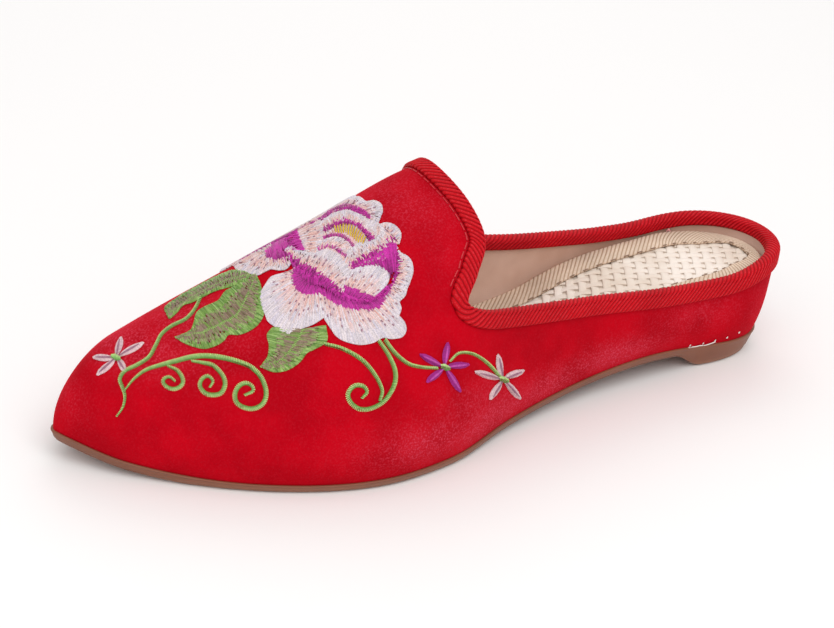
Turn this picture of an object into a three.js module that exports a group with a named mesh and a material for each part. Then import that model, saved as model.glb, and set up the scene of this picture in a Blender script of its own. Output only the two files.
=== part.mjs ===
import * as THREE from "three";

// A backless loafer for the left foot: a pointed slip-on with a low wall round the heel.
// Millimetres. +X runs from heel to toe, +Y to the outer side of the foot, +Z up.

// Driving dimensions
const lastLength = 250;
const heelWidth = 54;
const ballWidth = 87;
const instepHeight = 83;
const toeHeight = 29;
const heelLeanLength = 4.3;
const heelLeanCurve = 1.3;
const heelLeanFade = 6;
const featherTuckWidth = 3;
const tuckHeight = 14;
const skinPower = 0.55;
const heelRoundRadius = 30;
const toeRoundRadius = 15;
const noseRoundRadius = 20;

const heelSeatHeight = 7.5;
const foreSoleThickness = 2.6;
const shankSoleThickness = 3.3;
const toeSpringHeight = 6.8;
const soleLipWidth = 0.7;
const soleTaperWidth = 2.4;
const heelTipLength = 34;
const heelBreastLength = 13;

const wallThickness = 2;
const lastingMarginWidth = 6;
const toeMarginShare = 0.7;
const toeMarginFocus = 40;
const clearance = 0.3;

const heelCollarHeight = 36.2;
const sideCollarHeight = 31.8;
const notchHeight = 48.5;
const throatPlace = 0.54;
const flapLength = 5.5;

const bindingThickness = 1.1;
const bindingOutsideWidth = 4.3;
const bindingInsideWidth = 3.2;
const foldHeight = 0.75;
const foldWidth = 0.6;

const footbedHeelHeight = 22.9;
const footbedForeHeight = 5.1;
const tapeWidth = 9;
const tapeThickness = 1;
const tapeInsetWidth = 0.4;
const tapeToeShare = 0.45;
const bedRoundRadius = 1.2;

const sideSteps = 54;
const outerRows = 10;
const rowCrowding = 1.4;

// Sections of the last, from heel to toe. at is a share of lastLength.
// outer, inner and centre are shares of the width at that place, and ridge of the ridge height there.
// seat, fore and spring are shares of the heel seat's height, the fore sole and the toe spring.
// They add up to the feather line.
const sections = [
  { at: 0, outer: 0.52, inner: 0.52, centre: 0.007, ridge: 1.12, seat: 1, fore: 0, spring: 0 },
  { at: 0.06, outer: 0.472, inner: 0.509, centre: 0, ridge: 1.136, seat: 1.04, fore: 0, spring: 0 },
  { at: 0.14, outer: 0.45, inner: 0.5, centre: -0.004, ridge: 1.155, seat: 1.16, fore: 0, spring: 0 },
  { at: 0.24, outer: 0.465, inner: 0.483, centre: 0, ridge: 1.143, seat: 1.33, fore: 0, spring: 0 },
  { at: 0.36, outer: 0.437, inner: 0.396, centre: 0, ridge: 1.087, seat: 0.9, fore: 0.36, spring: 0 },
  { at: 0.48, outer: 0.453, inner: 0.376, centre: 0, ridge: 1, seat: 0.3, fore: 0.98, spring: 0 },
  { at: 0.58, outer: 0.521, inner: 0.418, centre: 0.006, ridge: 1.02, seat: 0.06, fore: 1, spring: 0 },
  { at: 0.68, outer: 0.547, inner: 0.455, centre: 0.007, ridge: 0.988, seat: 0, fore: 1, spring: 0 },
  { at: 0.78, outer: 0.478, inner: 0.425, centre: -0.003, ridge: 0.972, seat: 0, fore: 0.96, spring: 0 },
  { at: 0.88, outer: 0.334, inner: 0.313, centre: -0.026, ridge: 0.987, seat: 0, fore: 0.94, spring: 0.1 },
  { at: 0.95, outer: 0.202, inner: 0.199, centre: -0.051, ridge: 0.99, seat: 0, fore: 0.94, spring: 0.45 },
  { at: 1, outer: 0.103, inner: 0.122, centre: -0.07, ridge: 1, seat: 0, fore: 0.92, spring: 1 },
];
const widthStart = 0.2;
const widthEnd = 0.6;
const ridgeStart = 0.48;

// The collar line of one side, seen from the side, from the heel back to the throat.
// along is the place on the line. reach is a share of notchAt up to the notch and then runs on to throatAt.
// heel, notch and peak are shares of the steps between the heights of side, heel, notch and ridge.
const collar = [
  { along: 0, reach: 0, back: 0, heel: 1, notch: 0, peak: 0 },
  { along: 0.1, reach: 0.1, back: 0, heel: 0.62, notch: 0, peak: 0 },
  { along: 0.18, reach: 0.22, back: 0, heel: 0.05, notch: 0, peak: 0 },
  { along: 0.27, reach: 0.36, back: 0, heel: 0, notch: 0.03, peak: 0 },
  { along: 0.4, reach: 0.6, back: 0, heel: 0, notch: 0.24, peak: 0 },
  { along: 0.52, reach: 0.83, back: 0, heel: 0, notch: 0.51, peak: 0 },
  { along: 0.61, reach: 0.945, back: 0, heel: 0, notch: 0.72, peak: 0 },
  { along: 0.7, reach: 1, back: 0, heel: 0, notch: 1, peak: 0 },
  { along: 0.79, reach: 1, back: 0.95, heel: 0, notch: 1, peak: 0.23 },
  { along: 0.88, reach: 1, back: 1.9, heel: 0, notch: 1, peak: 0.5 },
  { along: 0.95, reach: 1, back: 1.55, heel: 0, notch: 1, peak: 0.8 },
  { along: 1, reach: 1, back: 1, heel: 0, notch: 1, peak: 1 },
];

// Height of the footbed above the feather line: rise is a share of the step from fore to heel.
const footbed = [
  { at: 0, rise: 1 },
  { at: 0.12, rise: 0.8 },
  { at: 0.18, rise: 0.68 },
  { at: 0.27, rise: 0.45 },
  { at: 0.34, rise: 0.22 },
  { at: 0.41, rise: 0.08 },
  { at: 0.5, rise: 0 },
  { at: 1, rise: 0 },
];

// Small functions for numbers
const mix = (a, b, t) => a + (b - a) * t;
const clamp01 = (t) => Math.min(1, Math.max(0, t));
const ease = (t) => clamp01(t) ** 2 * (3 - 2 * clamp01(t));

// A smooth curve through one column of a table, over its key column
function through(table, key, column, x) {
  const slope = (i) =>
    (table[i + 1][column] - table[i][column]) / (table[i + 1][key] - table[i][key]);
  const tangent = (i) => {
    if (i === 0) return slope(0);
    if (i === table.length - 1) return slope(i - 1);
    const before = table[i][key] - table[i - 1][key];
    const after = table[i + 1][key] - table[i][key];
    return (slope(i - 1) * after + slope(i) * before) / (before + after);
  };
  let i = 0;
  while (i < table.length - 2 && x > table[i + 1][key]) i += 1;
  const span = table[i + 1][key] - table[i][key];
  const t = clamp01((x - table[i][key]) / span);
  return (
    (2 * t ** 3 - 3 * t ** 2 + 1) * table[i][column] +
    (t ** 3 - 2 * t ** 2 + t) * span * tangent(i) +
    (3 * t ** 2 - 2 * t ** 3) * table[i + 1][column] +
    (t ** 3 - t ** 2) * span * tangent(i + 1)
  );
}

// The last: everything is measured at u, the distance from the heel back
const share = (column, u) => through(sections, "at", column, u / lastLength);
const widthBase = (u) =>
  mix(heelWidth, ballWidth, ease((u / lastLength - widthStart) / (widthEnd - widthStart)));
const ridgeBase = (u) =>
  mix(instepHeight, toeHeight, clamp01((u / lastLength - ridgeStart) / (1 - ridgeStart)));
const featherAt = (u) =>
  share("seat", u) * heelSeatHeight +
  share("fore", u) * foreSoleThickness +
  share("spring", u) * toeSpringHeight;
const centreAt = (u) => share("centre", u) * widthBase(u);
const roundOff = (distance, radius) => Math.sqrt(Math.max(0, 1 - (1 - clamp01(distance / radius)) ** 2));
const planRound = (u) => roundOff(u, heelRoundRadius) * roundOff(lastLength - u, toeRoundRadius);
const ridgeAt = (u) => {
  const feather = featherAt(u);
  const nose = roundOff(lastLength - u, noseRoundRadius);
  return feather + (share("ridge", u) * ridgeBase(u) - feather) * nose;
};
const throatAt = throatPlace * lastLength;
const notchAt = throatAt + flapLength;
const peakHeight = ridgeAt(throatAt);
const heelShift = (u, z) => {
  const drop = clamp01((heelCollarHeight - z) / (heelCollarHeight - heelSeatHeight));
  return heelLeanLength * drop ** heelLeanCurve * (1 - clamp01(u / lastLength)) ** heelLeanFade;
};

// The skin of the last at distance u and height z. side is 1 for the outer side and -1 for the inner.
function skinPoint(u, z, side) {
  const feather = featherAt(u);
  const ridge = Math.max(ridgeAt(u), feather + 1e-6);
  const rise = clamp01((z - feather) / (ridge - feather));
  const halfWidth = share(side > 0 ? "outer" : "inner", u) * widthBase(u);
  const tuck = featherTuckWidth * clamp01(1 - (z - feather) / tuckHeight) ** 2;
  const y = planRound(u) * (halfWidth - tuck) * (1 - rise * rise) ** skinPower;
  return new THREE.Vector3(u + heelShift(u, z), centreAt(u) + side * y, z);
}

// Edges of one side of the upper, seen from the side: feather, collar, heel back and ridge
const collarLine = (t) => {
  const value = (column) => through(collar, "along", column, t);
  const u = value("reach") * notchAt + value("back") * (throatAt - notchAt);
  const z =
    sideCollarHeight +
    value("heel") * (heelCollarHeight - sideCollarHeight) +
    value("notch") * (notchHeight - sideCollarHeight) +
    value("peak") * (peakHeight - notchHeight);
  return [u, Math.min(z, ridgeAt(u))];
};
const noseShare = 0.24;
const ridgeLine = (r) => {
  const turn = (Math.PI / 2) * Math.min(1, r / noseShare);
  const past = Math.max(0, (r - noseShare) / (1 - noseShare));
  const noseStart = lastLength - noseRoundRadius;
  const u = noseStart + noseRoundRadius * Math.cos(turn) - past * (noseStart - throatAt);
  return [u, ridgeAt(u)];
};
const featherLine = (s) => [s * lastLength, featherAt(s * lastLength)];
const heelLine = (r) => [0, mix(heelSeatHeight, heelCollarHeight, r)];

const sideOf = (turn) => (((turn % 2) + 2) % 2 <= 1 ? 1 : -1);
const lengthShare = (turn) => (1 - Math.cos(Math.PI * turn)) / 2;

// The upper's skin. turn goes once round the shoe: 0 heel back, 0 to 1 outer side, 1 toe and throat,
// 1 to 2 inner side. r goes from the feather line, 0, to the collar line, 1.
function sidePlace(turn, r) {
  const s = lengthShare(turn);
  const [bottom, top, left, right] = [featherLine(s), collarLine(s), heelLine(r), ridgeLine(r)];
  const place = (i) => {
    const across = mix(bottom[i], top[i], r) + mix(left[i], right[i], s);
    const low = mix(featherLine(0)[i], featherLine(1)[i], s);
    const high = mix(collarLine(0)[i], collarLine(1)[i], s);
    return across - mix(low, high, r);
  };
  return [place(0), place(1)];
}
function skin(turn, r) {
  const [u, z] = sidePlace(turn, r);
  return skinPoint(Math.min(lastLength, Math.max(0, u)), z, sideOf(turn));
}

// Directions on the skin, from small steps either way
const step = 1e-3;
function directions(turn, r) {
  const low = Math.max(0, r - step);
  const high = Math.min(1, r + step);
  const along = skin(turn + step, r).sub(skin(turn - step, r)).divideScalar(2 * step);
  const up = skin(turn, high).sub(skin(turn, low)).divideScalar(high - low);
  const out = new THREE.Vector3().crossVectors(up, along).normalize();
  return { along, up, out };
}
function offSkin(turn, r, distance) {
  return skin(turn, r).addScaledVector(directions(turn, r).out, distance);
}

// From the collar at turn, the place that lies so far down the skin, square to the collar line
const walkSteps = 4;
function downFromCollar(turn, distance) {
  let [t, r] = [turn, 1];
  const start = directions(turn, 1);
  const edge = skin(turn + step, 1).sub(skin(turn - step, 1)).normalize();
  const down = new THREE.Vector3().crossVectors(start.out, edge).normalize();
  for (let i = 0; i < walkSteps; i += 1) {
    const { along, up, out } = directions(t, r);
    const pace = down.clone().projectOnPlane(out).setLength(distance / walkSteps);
    const [aa, au, uu] = [along.dot(along), along.dot(up), up.dot(up)];
    const [pa, pu] = [pace.dot(along), pace.dot(up)];
    const det = aa * uu - au * au;
    t += (pa * uu - pu * au) / det;
    r += (pu * aa - pa * au) / det;
  }
  return { t, r, down };
}

// A solid from a row of closed rings. Ends that draw in to a line close themselves, or the row is a loop.
function solidFromRings(rings, looped) {
  const places = [];
  const known = new Map();
  const indexOf = (p) => {
    const key = [p.x, p.y, p.z].map((v) => Math.round(v * 1e4)).join();
    if (!known.has(key)) {
      known.set(key, places.length / 3);
      places.push(p.x, p.y, p.z);
    }
    return known.get(key);
  };
  const numbers = rings.map((ring) => ring.map(indexOf));
  const faces = [];
  const addFace = (a, b, c) => {
    if (a !== b && b !== c && c !== a) faces.push(a, b, c);
  };
  const bands = looped ? rings.length : rings.length - 1;
  for (let i = 0; i < bands; i += 1) {
    const here = numbers[i];
    const next = numbers[(i + 1) % rings.length];
    for (let j = 0; j < here.length; j += 1) {
      const k = (j + 1) % here.length;
      addFace(here[j], next[k], next[j]);
      addFace(here[j], here[k], next[k]);
    }
  }
  const geometry = new THREE.BufferGeometry();
  geometry.setAttribute("position", new THREE.Float32BufferAttribute(places, 3));
  geometry.setIndex(faces);
  geometry.computeVertexNormals();
  return geometry;
}
const turns = Array.from({ length: 2 * sideSteps }, (_, i) => i / sideSteps);

// Points level with a height above the feather line, found by moving in from the skin of the last.
// depth is measured square to the skin and inset level with the ground.
const levelHeight = (x, lift) => {
  const u = clamp01(x / lastLength) * lastLength;
  return featherAt(u) + lift(u);
};
function levelPoint(turn, lift, depth, inset) {
  const at = (t, extra) => {
    const tipRise = (lift(lastLength) + extra) / (toeHeight - featherAt(lastLength));
    const tip = lastLength - noseRoundRadius * (1 - Math.sqrt(1 - tipRise ** 2));
    const u = lengthShare(t) * tip;
    return skinPoint(u, featherAt(u) + lift(u) + extra, sideOf(t));
  };
  const ahead = at(turn + step, 0).sub(at(turn - step, 0));
  const up = at(turn, step).sub(at(turn, -step));
  const out = new THREE.Vector3(-ahead.y, ahead.x, 0).normalize();
  const slant = new THREE.Vector3().crossVectors(up, ahead).normalize().dot(out);
  const point = at(turn, 0).addScaledVector(out, depth / slant + inset);
  return point.setZ(levelHeight(point.x, lift));
}
const flat = (height) => () => height;

// Upper: velvet on a lining, lasted, with its lower margin turned in. Open at the collar and below.
function upperRing(turn) {
  const half = downFromCollar(turn, bindingOutsideWidth / 2);
  const full = downFromCollar(turn, bindingOutsideWidth);
  const rows = [];
  for (let i = 1; i < outerRows; i += 1) {
    const rise = (i / outerRows) ** rowCrowding;
    rows.push([mix(turn, full.t, rise), full.r * rise]);
  }
  rows.push([full.t, full.r], [half.t, half.r], [turn, 1]);
  const outside = rows.map(([t, r]) => offSkin(t, r, 0));
  const inside = rows.map(([t, r]) => offSkin(t, r, -wallThickness));
  const toeEase = mix(1, toeMarginShare, Math.sin((Math.PI * turn) / 2) ** toeMarginFocus);
  const marginInset = -wallThickness - lastingMarginWidth * toeEase;
  return [
    levelPoint(turn, flat(clearance), 0, 0),
    ...outside,
    ...inside.reverse(),
    levelPoint(turn, flat(clearance + wallThickness), -wallThickness, 0),
    levelPoint(turn, flat(clearance + wallThickness), 0, marginInset),
    levelPoint(turn, flat(clearance), 0, marginInset),
  ];
}
const upperShape = solidFromRings(turns.map(upperRing), true);

// Collar binding: one tape folded over the collar edge, on both faces of the wall
function bindingRing(turn) {
  const near = clearance;
  const far = clearance + bindingThickness;
  const below = (distance, offset) => {
    const { t, r } = downFromCollar(turn, distance);
    return offSkin(t, r, offset);
  };
  const { down } = downFromCollar(turn, bindingOutsideWidth);
  const above = (height, offset) => offSkin(turn, 1, offset).addScaledVector(down, -height);
  return [
    below(bindingOutsideWidth, near),
    below(bindingOutsideWidth, far),
    below(bindingOutsideWidth / 2, far),
    above(0, far),
    above(far * foldHeight, far * foldWidth),
    above(far, -wallThickness / 2),
    above(far * foldHeight, -wallThickness - far * foldWidth),
    above(0, -wallThickness - far),
    below(bindingInsideWidth, -wallThickness - far),
    below(bindingInsideWidth, -wallThickness - near),
    above(near, -wallThickness - near),
    above(near, near),
    below(bindingOutsideWidth / 2, near),
  ];
}
const bindingShape = solidFromRings(turns.map(bindingRing), true);

// Footbed: its side follows the inside of the wall, and its top falls from the heel to the ball
const bedDepth = -wallThickness - clearance;
const bedBottom = wallThickness + 2 * clearance;
const bedRise = (u) =>
  mix(footbedForeHeight, footbedHeelHeight, through(footbed, "at", "rise", u / lastLength));
const bedShoulder = (u) => bedRise(u) - bedRoundRadius;
const bedMiddle = (u) => mix(bedBottom, bedShoulder(u), 0.5);
function footbedSection(turn) {
  const column = (t) => [
    levelPoint(t, flat(bedBottom), bedDepth, 0),
    levelPoint(t, bedMiddle, bedDepth, 0),
    levelPoint(t, bedShoulder, bedDepth, 0),
    levelPoint(t, bedRise, bedDepth, -bedRoundRadius),
  ];
  return [...column(turn), ...column(2 - turn).reverse()];
}
const stations = Array.from({ length: sideSteps + 1 }, (_, i) => i / sideSteps);
const footbedShape = solidFromRings(stations.map(footbedSection), false);

// Footbed binding: a flat tape laid round the edge of the footbed, narrower where the toe draws in
const tapeBase = (u) => bedRise(u) + clearance;
const tapeTop = (u) => tapeBase(u) + tapeThickness;
function tapeRing(turn) {
  const middle = centreAt(lengthShare(turn) * lastLength);
  const halfWidth = Math.abs(levelPoint(turn, bedRise, 0, 0).y - middle);
  const width = Math.min(tapeWidth, tapeToeShare * Math.max(halfWidth, toeRoundRadius / 2));
  const outerInset = -bedRoundRadius - tapeInsetWidth;
  return [
    levelPoint(turn, tapeBase, bedDepth, outerInset - width),
    levelPoint(turn, tapeBase, bedDepth, outerInset),
    levelPoint(turn, tapeTop, bedDepth, outerInset),
    levelPoint(turn, tapeTop, bedDepth, outerInset - width),
  ];
}
const tapeShape = solidFromRings(turns.map(tapeRing), true);

// Outsole: flat at the ball, thin at the waist, with a low heel moulded in one with it
const groundAt = (x) => {
  const arch = Math.max(0, levelHeight(x, flat(0)) - shankSoleThickness);
  return arch * ease((x - heelTipLength) / heelBreastLength);
};
function soleSection(turn) {
  const column = (t) => {
    const top = levelPoint(t, flat(0), 0, soleLipWidth);
    const ground = groundAt(top.x);
    const taper = soleTaperWidth * clamp01((top.z - ground) / heelSeatHeight);
    const bottom = levelPoint(t, flat(0), 0, soleLipWidth - taper);
    bottom.z = groundAt(bottom.x);
    const edge = top.clone().setZ(mix(ground, top.z, 0.5));
    return [bottom, edge, top];
  };
  return [...column(turn), ...column(2 - turn).reverse()];
}
const heelStations = [0, heelBreastLength / 3, heelBreastLength].map(
  (past) => Math.acos(1 - (2 * (heelTipLength + past)) / lastLength) / Math.PI,
);
const soleStations = [...stations, ...heelStations].sort((a, b) => a - b);
const soleShape = solidFromRings(soleStations.map(soleSection), false);

// Finishes
const finish = (color, roughness) =>
  new THREE.MeshStandardMaterial({ color, roughness, metalness: 0 });
const velvet = finish(0xc4101c, 0.85);
const redTape = finish(0xcc1626, 0.8);
const weave = finish(0xe6d9c8, 0.85);
const beigeTape = finish(0xc2a386, 0.85);
const rubber = finish(0x8a5a3e, 0.6);

// The shoe, set with the middle of its box over the origin and its sole on the ground
const shoe = new THREE.Group();
function addPiece(name, geometry, material) {
  const mesh = new THREE.Mesh(geometry, material);
  mesh.name = name;
  shoe.add(mesh);
}
addPiece("outsole", soleShape, rubber);
addPiece("upper", upperShape, velvet);
addPiece("collar_binding", bindingShape, redTape);
addPiece("insole", footbedShape, weave);
addPiece("insole_binding", tapeShape, beigeTape);

const box = new THREE.Box3().setFromObject(shoe);
const middle = box.getCenter(new THREE.Vector3());
shoe.position.set(-middle.x, -middle.y, -box.min.z);

const part = new THREE.Group();
part.add(shoe);
export default part;
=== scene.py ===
import math
import random

import bmesh
import bpy
import numpy as np
from mathutils import Matrix, Vector
from mathutils.bvhtree import BVHTree


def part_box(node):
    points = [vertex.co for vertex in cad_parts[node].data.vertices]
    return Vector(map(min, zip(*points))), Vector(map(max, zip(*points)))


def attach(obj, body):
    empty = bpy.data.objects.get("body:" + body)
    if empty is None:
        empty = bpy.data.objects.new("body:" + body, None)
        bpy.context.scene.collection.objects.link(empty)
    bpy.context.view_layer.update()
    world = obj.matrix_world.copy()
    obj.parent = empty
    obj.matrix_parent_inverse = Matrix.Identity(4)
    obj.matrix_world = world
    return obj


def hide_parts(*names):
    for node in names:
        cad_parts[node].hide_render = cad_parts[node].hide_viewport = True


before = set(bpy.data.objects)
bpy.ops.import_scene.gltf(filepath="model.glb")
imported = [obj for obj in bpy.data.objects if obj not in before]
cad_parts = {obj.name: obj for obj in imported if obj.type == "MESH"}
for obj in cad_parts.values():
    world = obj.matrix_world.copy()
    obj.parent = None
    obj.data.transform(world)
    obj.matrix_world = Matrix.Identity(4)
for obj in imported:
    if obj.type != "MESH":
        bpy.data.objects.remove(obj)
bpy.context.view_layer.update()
mm = 0.001


# Camera: where the photograph was taken from, in front of the outer side and a little above the shoe.
# Places read from the photograph are kept in its own pixels and cast from here onto the velvet.
frame_width = 834
frame_height = 628
camera_turn = math.radians(147.4)
camera_rise = math.radians(26.2)
camera_roll = math.radians(5.1)
camera_distance = 600 * mm
focal_pixels = 1951.4
aim = Vector((10.2, -4.6, 28.2)) * mm
back = Vector((
    math.sin(camera_turn) * math.cos(camera_rise),
    -math.cos(camera_turn) * math.cos(camera_rise),
    math.sin(camera_rise),
))
level = Vector((math.cos(camera_turn), math.sin(camera_turn), 0))
right = level * math.cos(camera_roll) + back.cross(level) * math.sin(camera_roll)
upward = back.cross(right)


def add_object(name, data):
    thing = bpy.data.objects.new(name, data)
    bpy.context.scene.collection.objects.link(thing)
    return thing


camera_data = bpy.data.cameras.new("photo_camera")
camera_data.lens = focal_pixels * camera_data.sensor_width / frame_width
camera = add_object("photo_camera", camera_data)
camera.location = aim + back * camera_distance
camera.rotation_euler = Matrix((right, upward, back)).transposed().to_euler()
bpy.context.scene.camera = camera
bpy.context.scene.view_settings.view_transform = "Standard"


# Outsole: one moulded rubber unit, thin under the ball and the waist, with a low heel in one piece with it.
# It is cemented to the upper, and its edge shows as a narrow tan band all round. This section also sets
# out the last, the foot shape that every other piece lies on, measured from the heel back to the toe.
last_length = 250 * mm
heel_width = 54 * mm
ball_width = 87 * mm
instep_height = 83 * mm
toe_height = 29 * mm
heel_lean = 4.3 * mm
heel_lean_curve = 1.3
heel_lean_fade = 6
feather_tuck = 3 * mm
tuck_height = 14 * mm
skin_power = 0.55
heel_round = 30 * mm
toe_round = 15 * mm
nose_round = 20 * mm
width_start = 0.2
width_end = 0.6
ridge_start = 0.48
heel_seat = 7.5 * mm
fore_sole = 2.6 * mm
shank_sole = 3.3 * mm
toe_spring = 6.8 * mm
heel_collar = 36.2 * mm

section_columns = "at outer inner centre ridge seat fore spring".split()
sections = np.array([
    (0, 0.52, 0.52, 0.007, 1.12, 1, 0, 0),
    (0.06, 0.472, 0.509, 0, 1.136, 1.04, 0, 0),
    (0.14, 0.45, 0.5, -0.004, 1.155, 1.16, 0, 0),
    (0.24, 0.465, 0.483, 0, 1.143, 1.33, 0, 0),
    (0.36, 0.437, 0.396, 0, 1.087, 0.9, 0.36, 0),
    (0.48, 0.453, 0.376, 0, 1, 0.3, 0.98, 0),
    (0.58, 0.521, 0.418, 0.006, 1.02, 0.06, 1, 0),
    (0.68, 0.547, 0.455, 0.007, 0.988, 0, 1, 0),
    (0.78, 0.478, 0.425, -0.003, 0.972, 0, 0.96, 0),
    (0.88, 0.334, 0.313, -0.026, 0.987, 0, 0.94, 0.1),
    (0.95, 0.202, 0.199, -0.051, 0.99, 0, 0.94, 0.45),
    (1, 0.103, 0.122, -0.07, 1, 0, 0.92, 1),
])


def mix(a, b, t):
    return a + (b - a) * t


def ease(t):
    t = np.clip(t, 0, 1)
    return t * t * (3 - 2 * t)


def through(table, column, x):
    """A smooth curve through one column of a table, over its first column."""
    key, value = table[:, 0], table[:, column]
    gap = np.diff(key)
    slope = np.diff(value) / gap
    inner = (slope[:-1] * gap[1:] + slope[1:] * gap[:-1]) / (gap[:-1] + gap[1:])
    tangent = np.concatenate((slope[:1], inner, slope[-1:]))
    i = np.clip(np.searchsorted(key, x, side="left") - 1, 0, len(key) - 2)
    t = np.clip((x - key[i]) / gap[i], 0, 1)
    start = (2 * t**3 - 3 * t**2 + 1) * value[i] + (t**3 - 2 * t**2 + t) * gap[i] * tangent[i]
    end = (3 * t**2 - 2 * t**3) * value[i + 1] + (t**3 - t**2) * gap[i] * tangent[i + 1]
    return start + end


def share(name, u):
    return through(sections, section_columns.index(name), u / last_length)


def feather_at(u):
    return share("seat", u) * heel_seat + share("fore", u) * fore_sole + share("spring", u) * toe_spring


def round_off(distance, radius):
    return np.sqrt(np.maximum(0, 1 - (1 - np.clip(distance / radius, 0, 1)) ** 2))


def ridge_at(u):
    along = np.clip((u / last_length - ridge_start) / (1 - ridge_start), 0, 1)
    height = share("ridge", u) * mix(instep_height, toe_height, along)
    feather = feather_at(u)
    return feather + (height - feather) * round_off(last_length - u, nose_round)


def skin_point(u, z, side):
    """The skin of the last at distance u and height z. side is 1 for the outer side and -1 for the inner."""
    width = mix(heel_width, ball_width, ease((u / last_length - width_start) / (width_end - width_start)))
    feather = feather_at(u)
    ridge = np.maximum(ridge_at(u), feather + 1e-9)
    rise = np.clip((z - feather) / (ridge - feather), 0, 1)
    half = np.where(side > 0, share("outer", u), share("inner", u)) * width
    tuck = feather_tuck * np.clip(1 - (z - feather) / tuck_height, 0, 1) ** 2
    plan = round_off(u, heel_round) * round_off(last_length - u, toe_round)
    y = plan * (half - tuck) * (1 - rise**2) ** skin_power
    drop = np.clip((heel_collar - z) / (heel_collar - heel_seat), 0, 1) ** heel_lean_curve
    lean = heel_lean * drop * (1 - np.clip(u / last_length, 0, 1)) ** heel_lean_fade
    return np.stack([u + lean, share("centre", u) * width + side * y, z + 0 * y], -1)


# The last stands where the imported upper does: its toe and its widest place low on the outer side agree
widest_below = 30 * mm
along_last = np.linspace(0, last_length, 600)
low_rises = np.linspace(0, widest_below, 40)
widest = max(skin_point(along_last, feather_at(along_last) + rise, 1)[:, 1].max() for rise in low_rises)
upper_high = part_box("upper")[1]
last_shift = np.array([upper_high.x - last_length, upper_high.y - widest, 0])


def side_of(turn):
    return np.where(np.mod(turn, 2) <= 1, 1, -1)


def length_share(turn):
    return (1 - np.cos(np.pi * turn)) / 2


def unit(v):
    return v / np.linalg.norm(v, axis=-1, keepdims=True)


turn_step = 1e-3


def level_point(turn, lift, depth, inset):
    """A point lift(u) above the feather line, depth out square to the skin and inset out along the ground."""
    def at(t, extra):
        tip_rise = (lift(last_length) + extra) / (toe_height - feather_at(last_length))
        tip = last_length - nose_round * (1 - np.sqrt(1 - tip_rise**2))
        u = length_share(t) * tip
        return skin_point(u, feather_at(u) + lift(u) + extra, side_of(t))

    ahead = at(turn + turn_step, 0) - at(turn - turn_step, 0)
    up = at(turn, turn_step * mm) - at(turn, -turn_step * mm)
    out = unit(np.stack([-ahead[..., 1], ahead[..., 0], 0 * ahead[..., 0]], -1))
    slant = (unit(np.cross(up, ahead)) * out).sum(-1)
    point = at(turn, 0) + out * (depth / slant + inset)[..., None]
    u = np.clip(point[..., 0] / last_length, 0, 1) * last_length
    point[..., 2] = feather_at(u) + lift(u)
    return point


def flat(height):
    return lambda u: height + 0 * u


same_place = 2e-6
sliver = 1e-7


def keep_values(mesh, values):
    """Keeps named numbers or colours at the points of a mesh."""
    for key, value in values.items():
        kind, field = ("FLOAT", "value") if np.ndim(value) == 1 else ("FLOAT_COLOR", "color")
        mesh.attributes.new(key, kind, "POINT").data.foreach_set(field, np.ravel(value))


def add_mesh(name, rings, loop_columns=True, **values):
    """A closed piece from columns of points in the last's place, with its named values kept at the points."""
    mesh = bpy.data.meshes.new(name)
    faces = grid_faces(*rings.shape[:2], loop_columns)
    mesh.from_pydata((rings.reshape(-1, 3) + last_shift).tolist(), [], faces.tolist())
    keep_values(mesh, values)
    bm = bmesh.new()
    bm.from_mesh(mesh)
    bmesh.ops.remove_doubles(bm, verts=bm.verts, dist=same_place)
    bmesh.ops.dissolve_degenerate(bm, edges=bm.edges, dist=sliver)
    bmesh.ops.recalc_face_normals(bm, faces=bm.faces)
    bm.to_mesh(mesh)
    bm.free()
    mesh.shade_smooth()
    return add_object(name, mesh)


def grid_faces(columns, rows, loop_columns=True, loop_rows=True):
    """Four-sided faces of a grid of points, kept column by column."""
    i = np.arange(columns if loop_columns else columns - 1)[:, None]
    j = np.arange(rows if loop_rows else rows - 1)[None, :]
    next_i, next_j = (i + 1) % columns, (j + 1) % rows
    corners = [i * rows + j, next_i * rows + j, next_i * rows + next_j, i * rows + next_j]
    return np.stack(np.broadcast_arrays(*corners), -1).reshape(-1, 4)


def linear(code, alpha=1.0):
    """The linear colour of an sRGB hex value."""
    parts = [(code >> place & 255) / 255 for place in (16, 8, 0)]
    return [c / 12.92 if c <= 0.04045 else ((c + 0.055) / 1.055) ** 2.4 for c in parts] + [alpha]


def add_node(tree, kind, values=None, links=None, **settings):
    """A node with its settings, values and links. A link that names a node takes its first output."""
    node = tree.nodes.new(kind)
    for key, value in settings.items():
        setattr(node, key, value)
    for key, value in (values or {}).items():
        node.inputs[key].default_value = value
    for key, source in (links or {}).items():
        socket = source.outputs[0] if isinstance(source, bpy.types.Node) else source
        tree.links.new(socket, node.inputs[key])
    return node


def new_material(name):
    """A material, its node tree, and the object's own coordinates there."""
    material = bpy.data.materials.new(name)
    material.use_nodes = True
    tree = material.node_tree
    tree.nodes.clear()
    return material, tree, add_node(tree, "ShaderNodeTexCoord").outputs["Object"]


def clouded(tree, place, dark, light, size, low=0, high=1, detail=3):
    """A colour that drifts from dark to light in soft clouds of a size, and the clouds themselves."""
    cloud = add_node(tree, "ShaderNodeTexNoise", {"Scale": 1 / size, "Detail": detail}, {"Vector": place})
    tone = add_node(tree, "ShaderNodeMapRange", {1: low, 2: high}, {0: cloud})
    body = add_node(tree, "ShaderNodeMix", {6: linear(dark), 7: linear(light)}, {0: tone}, data_type="RGBA")
    return body.outputs[2], cloud


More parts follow.
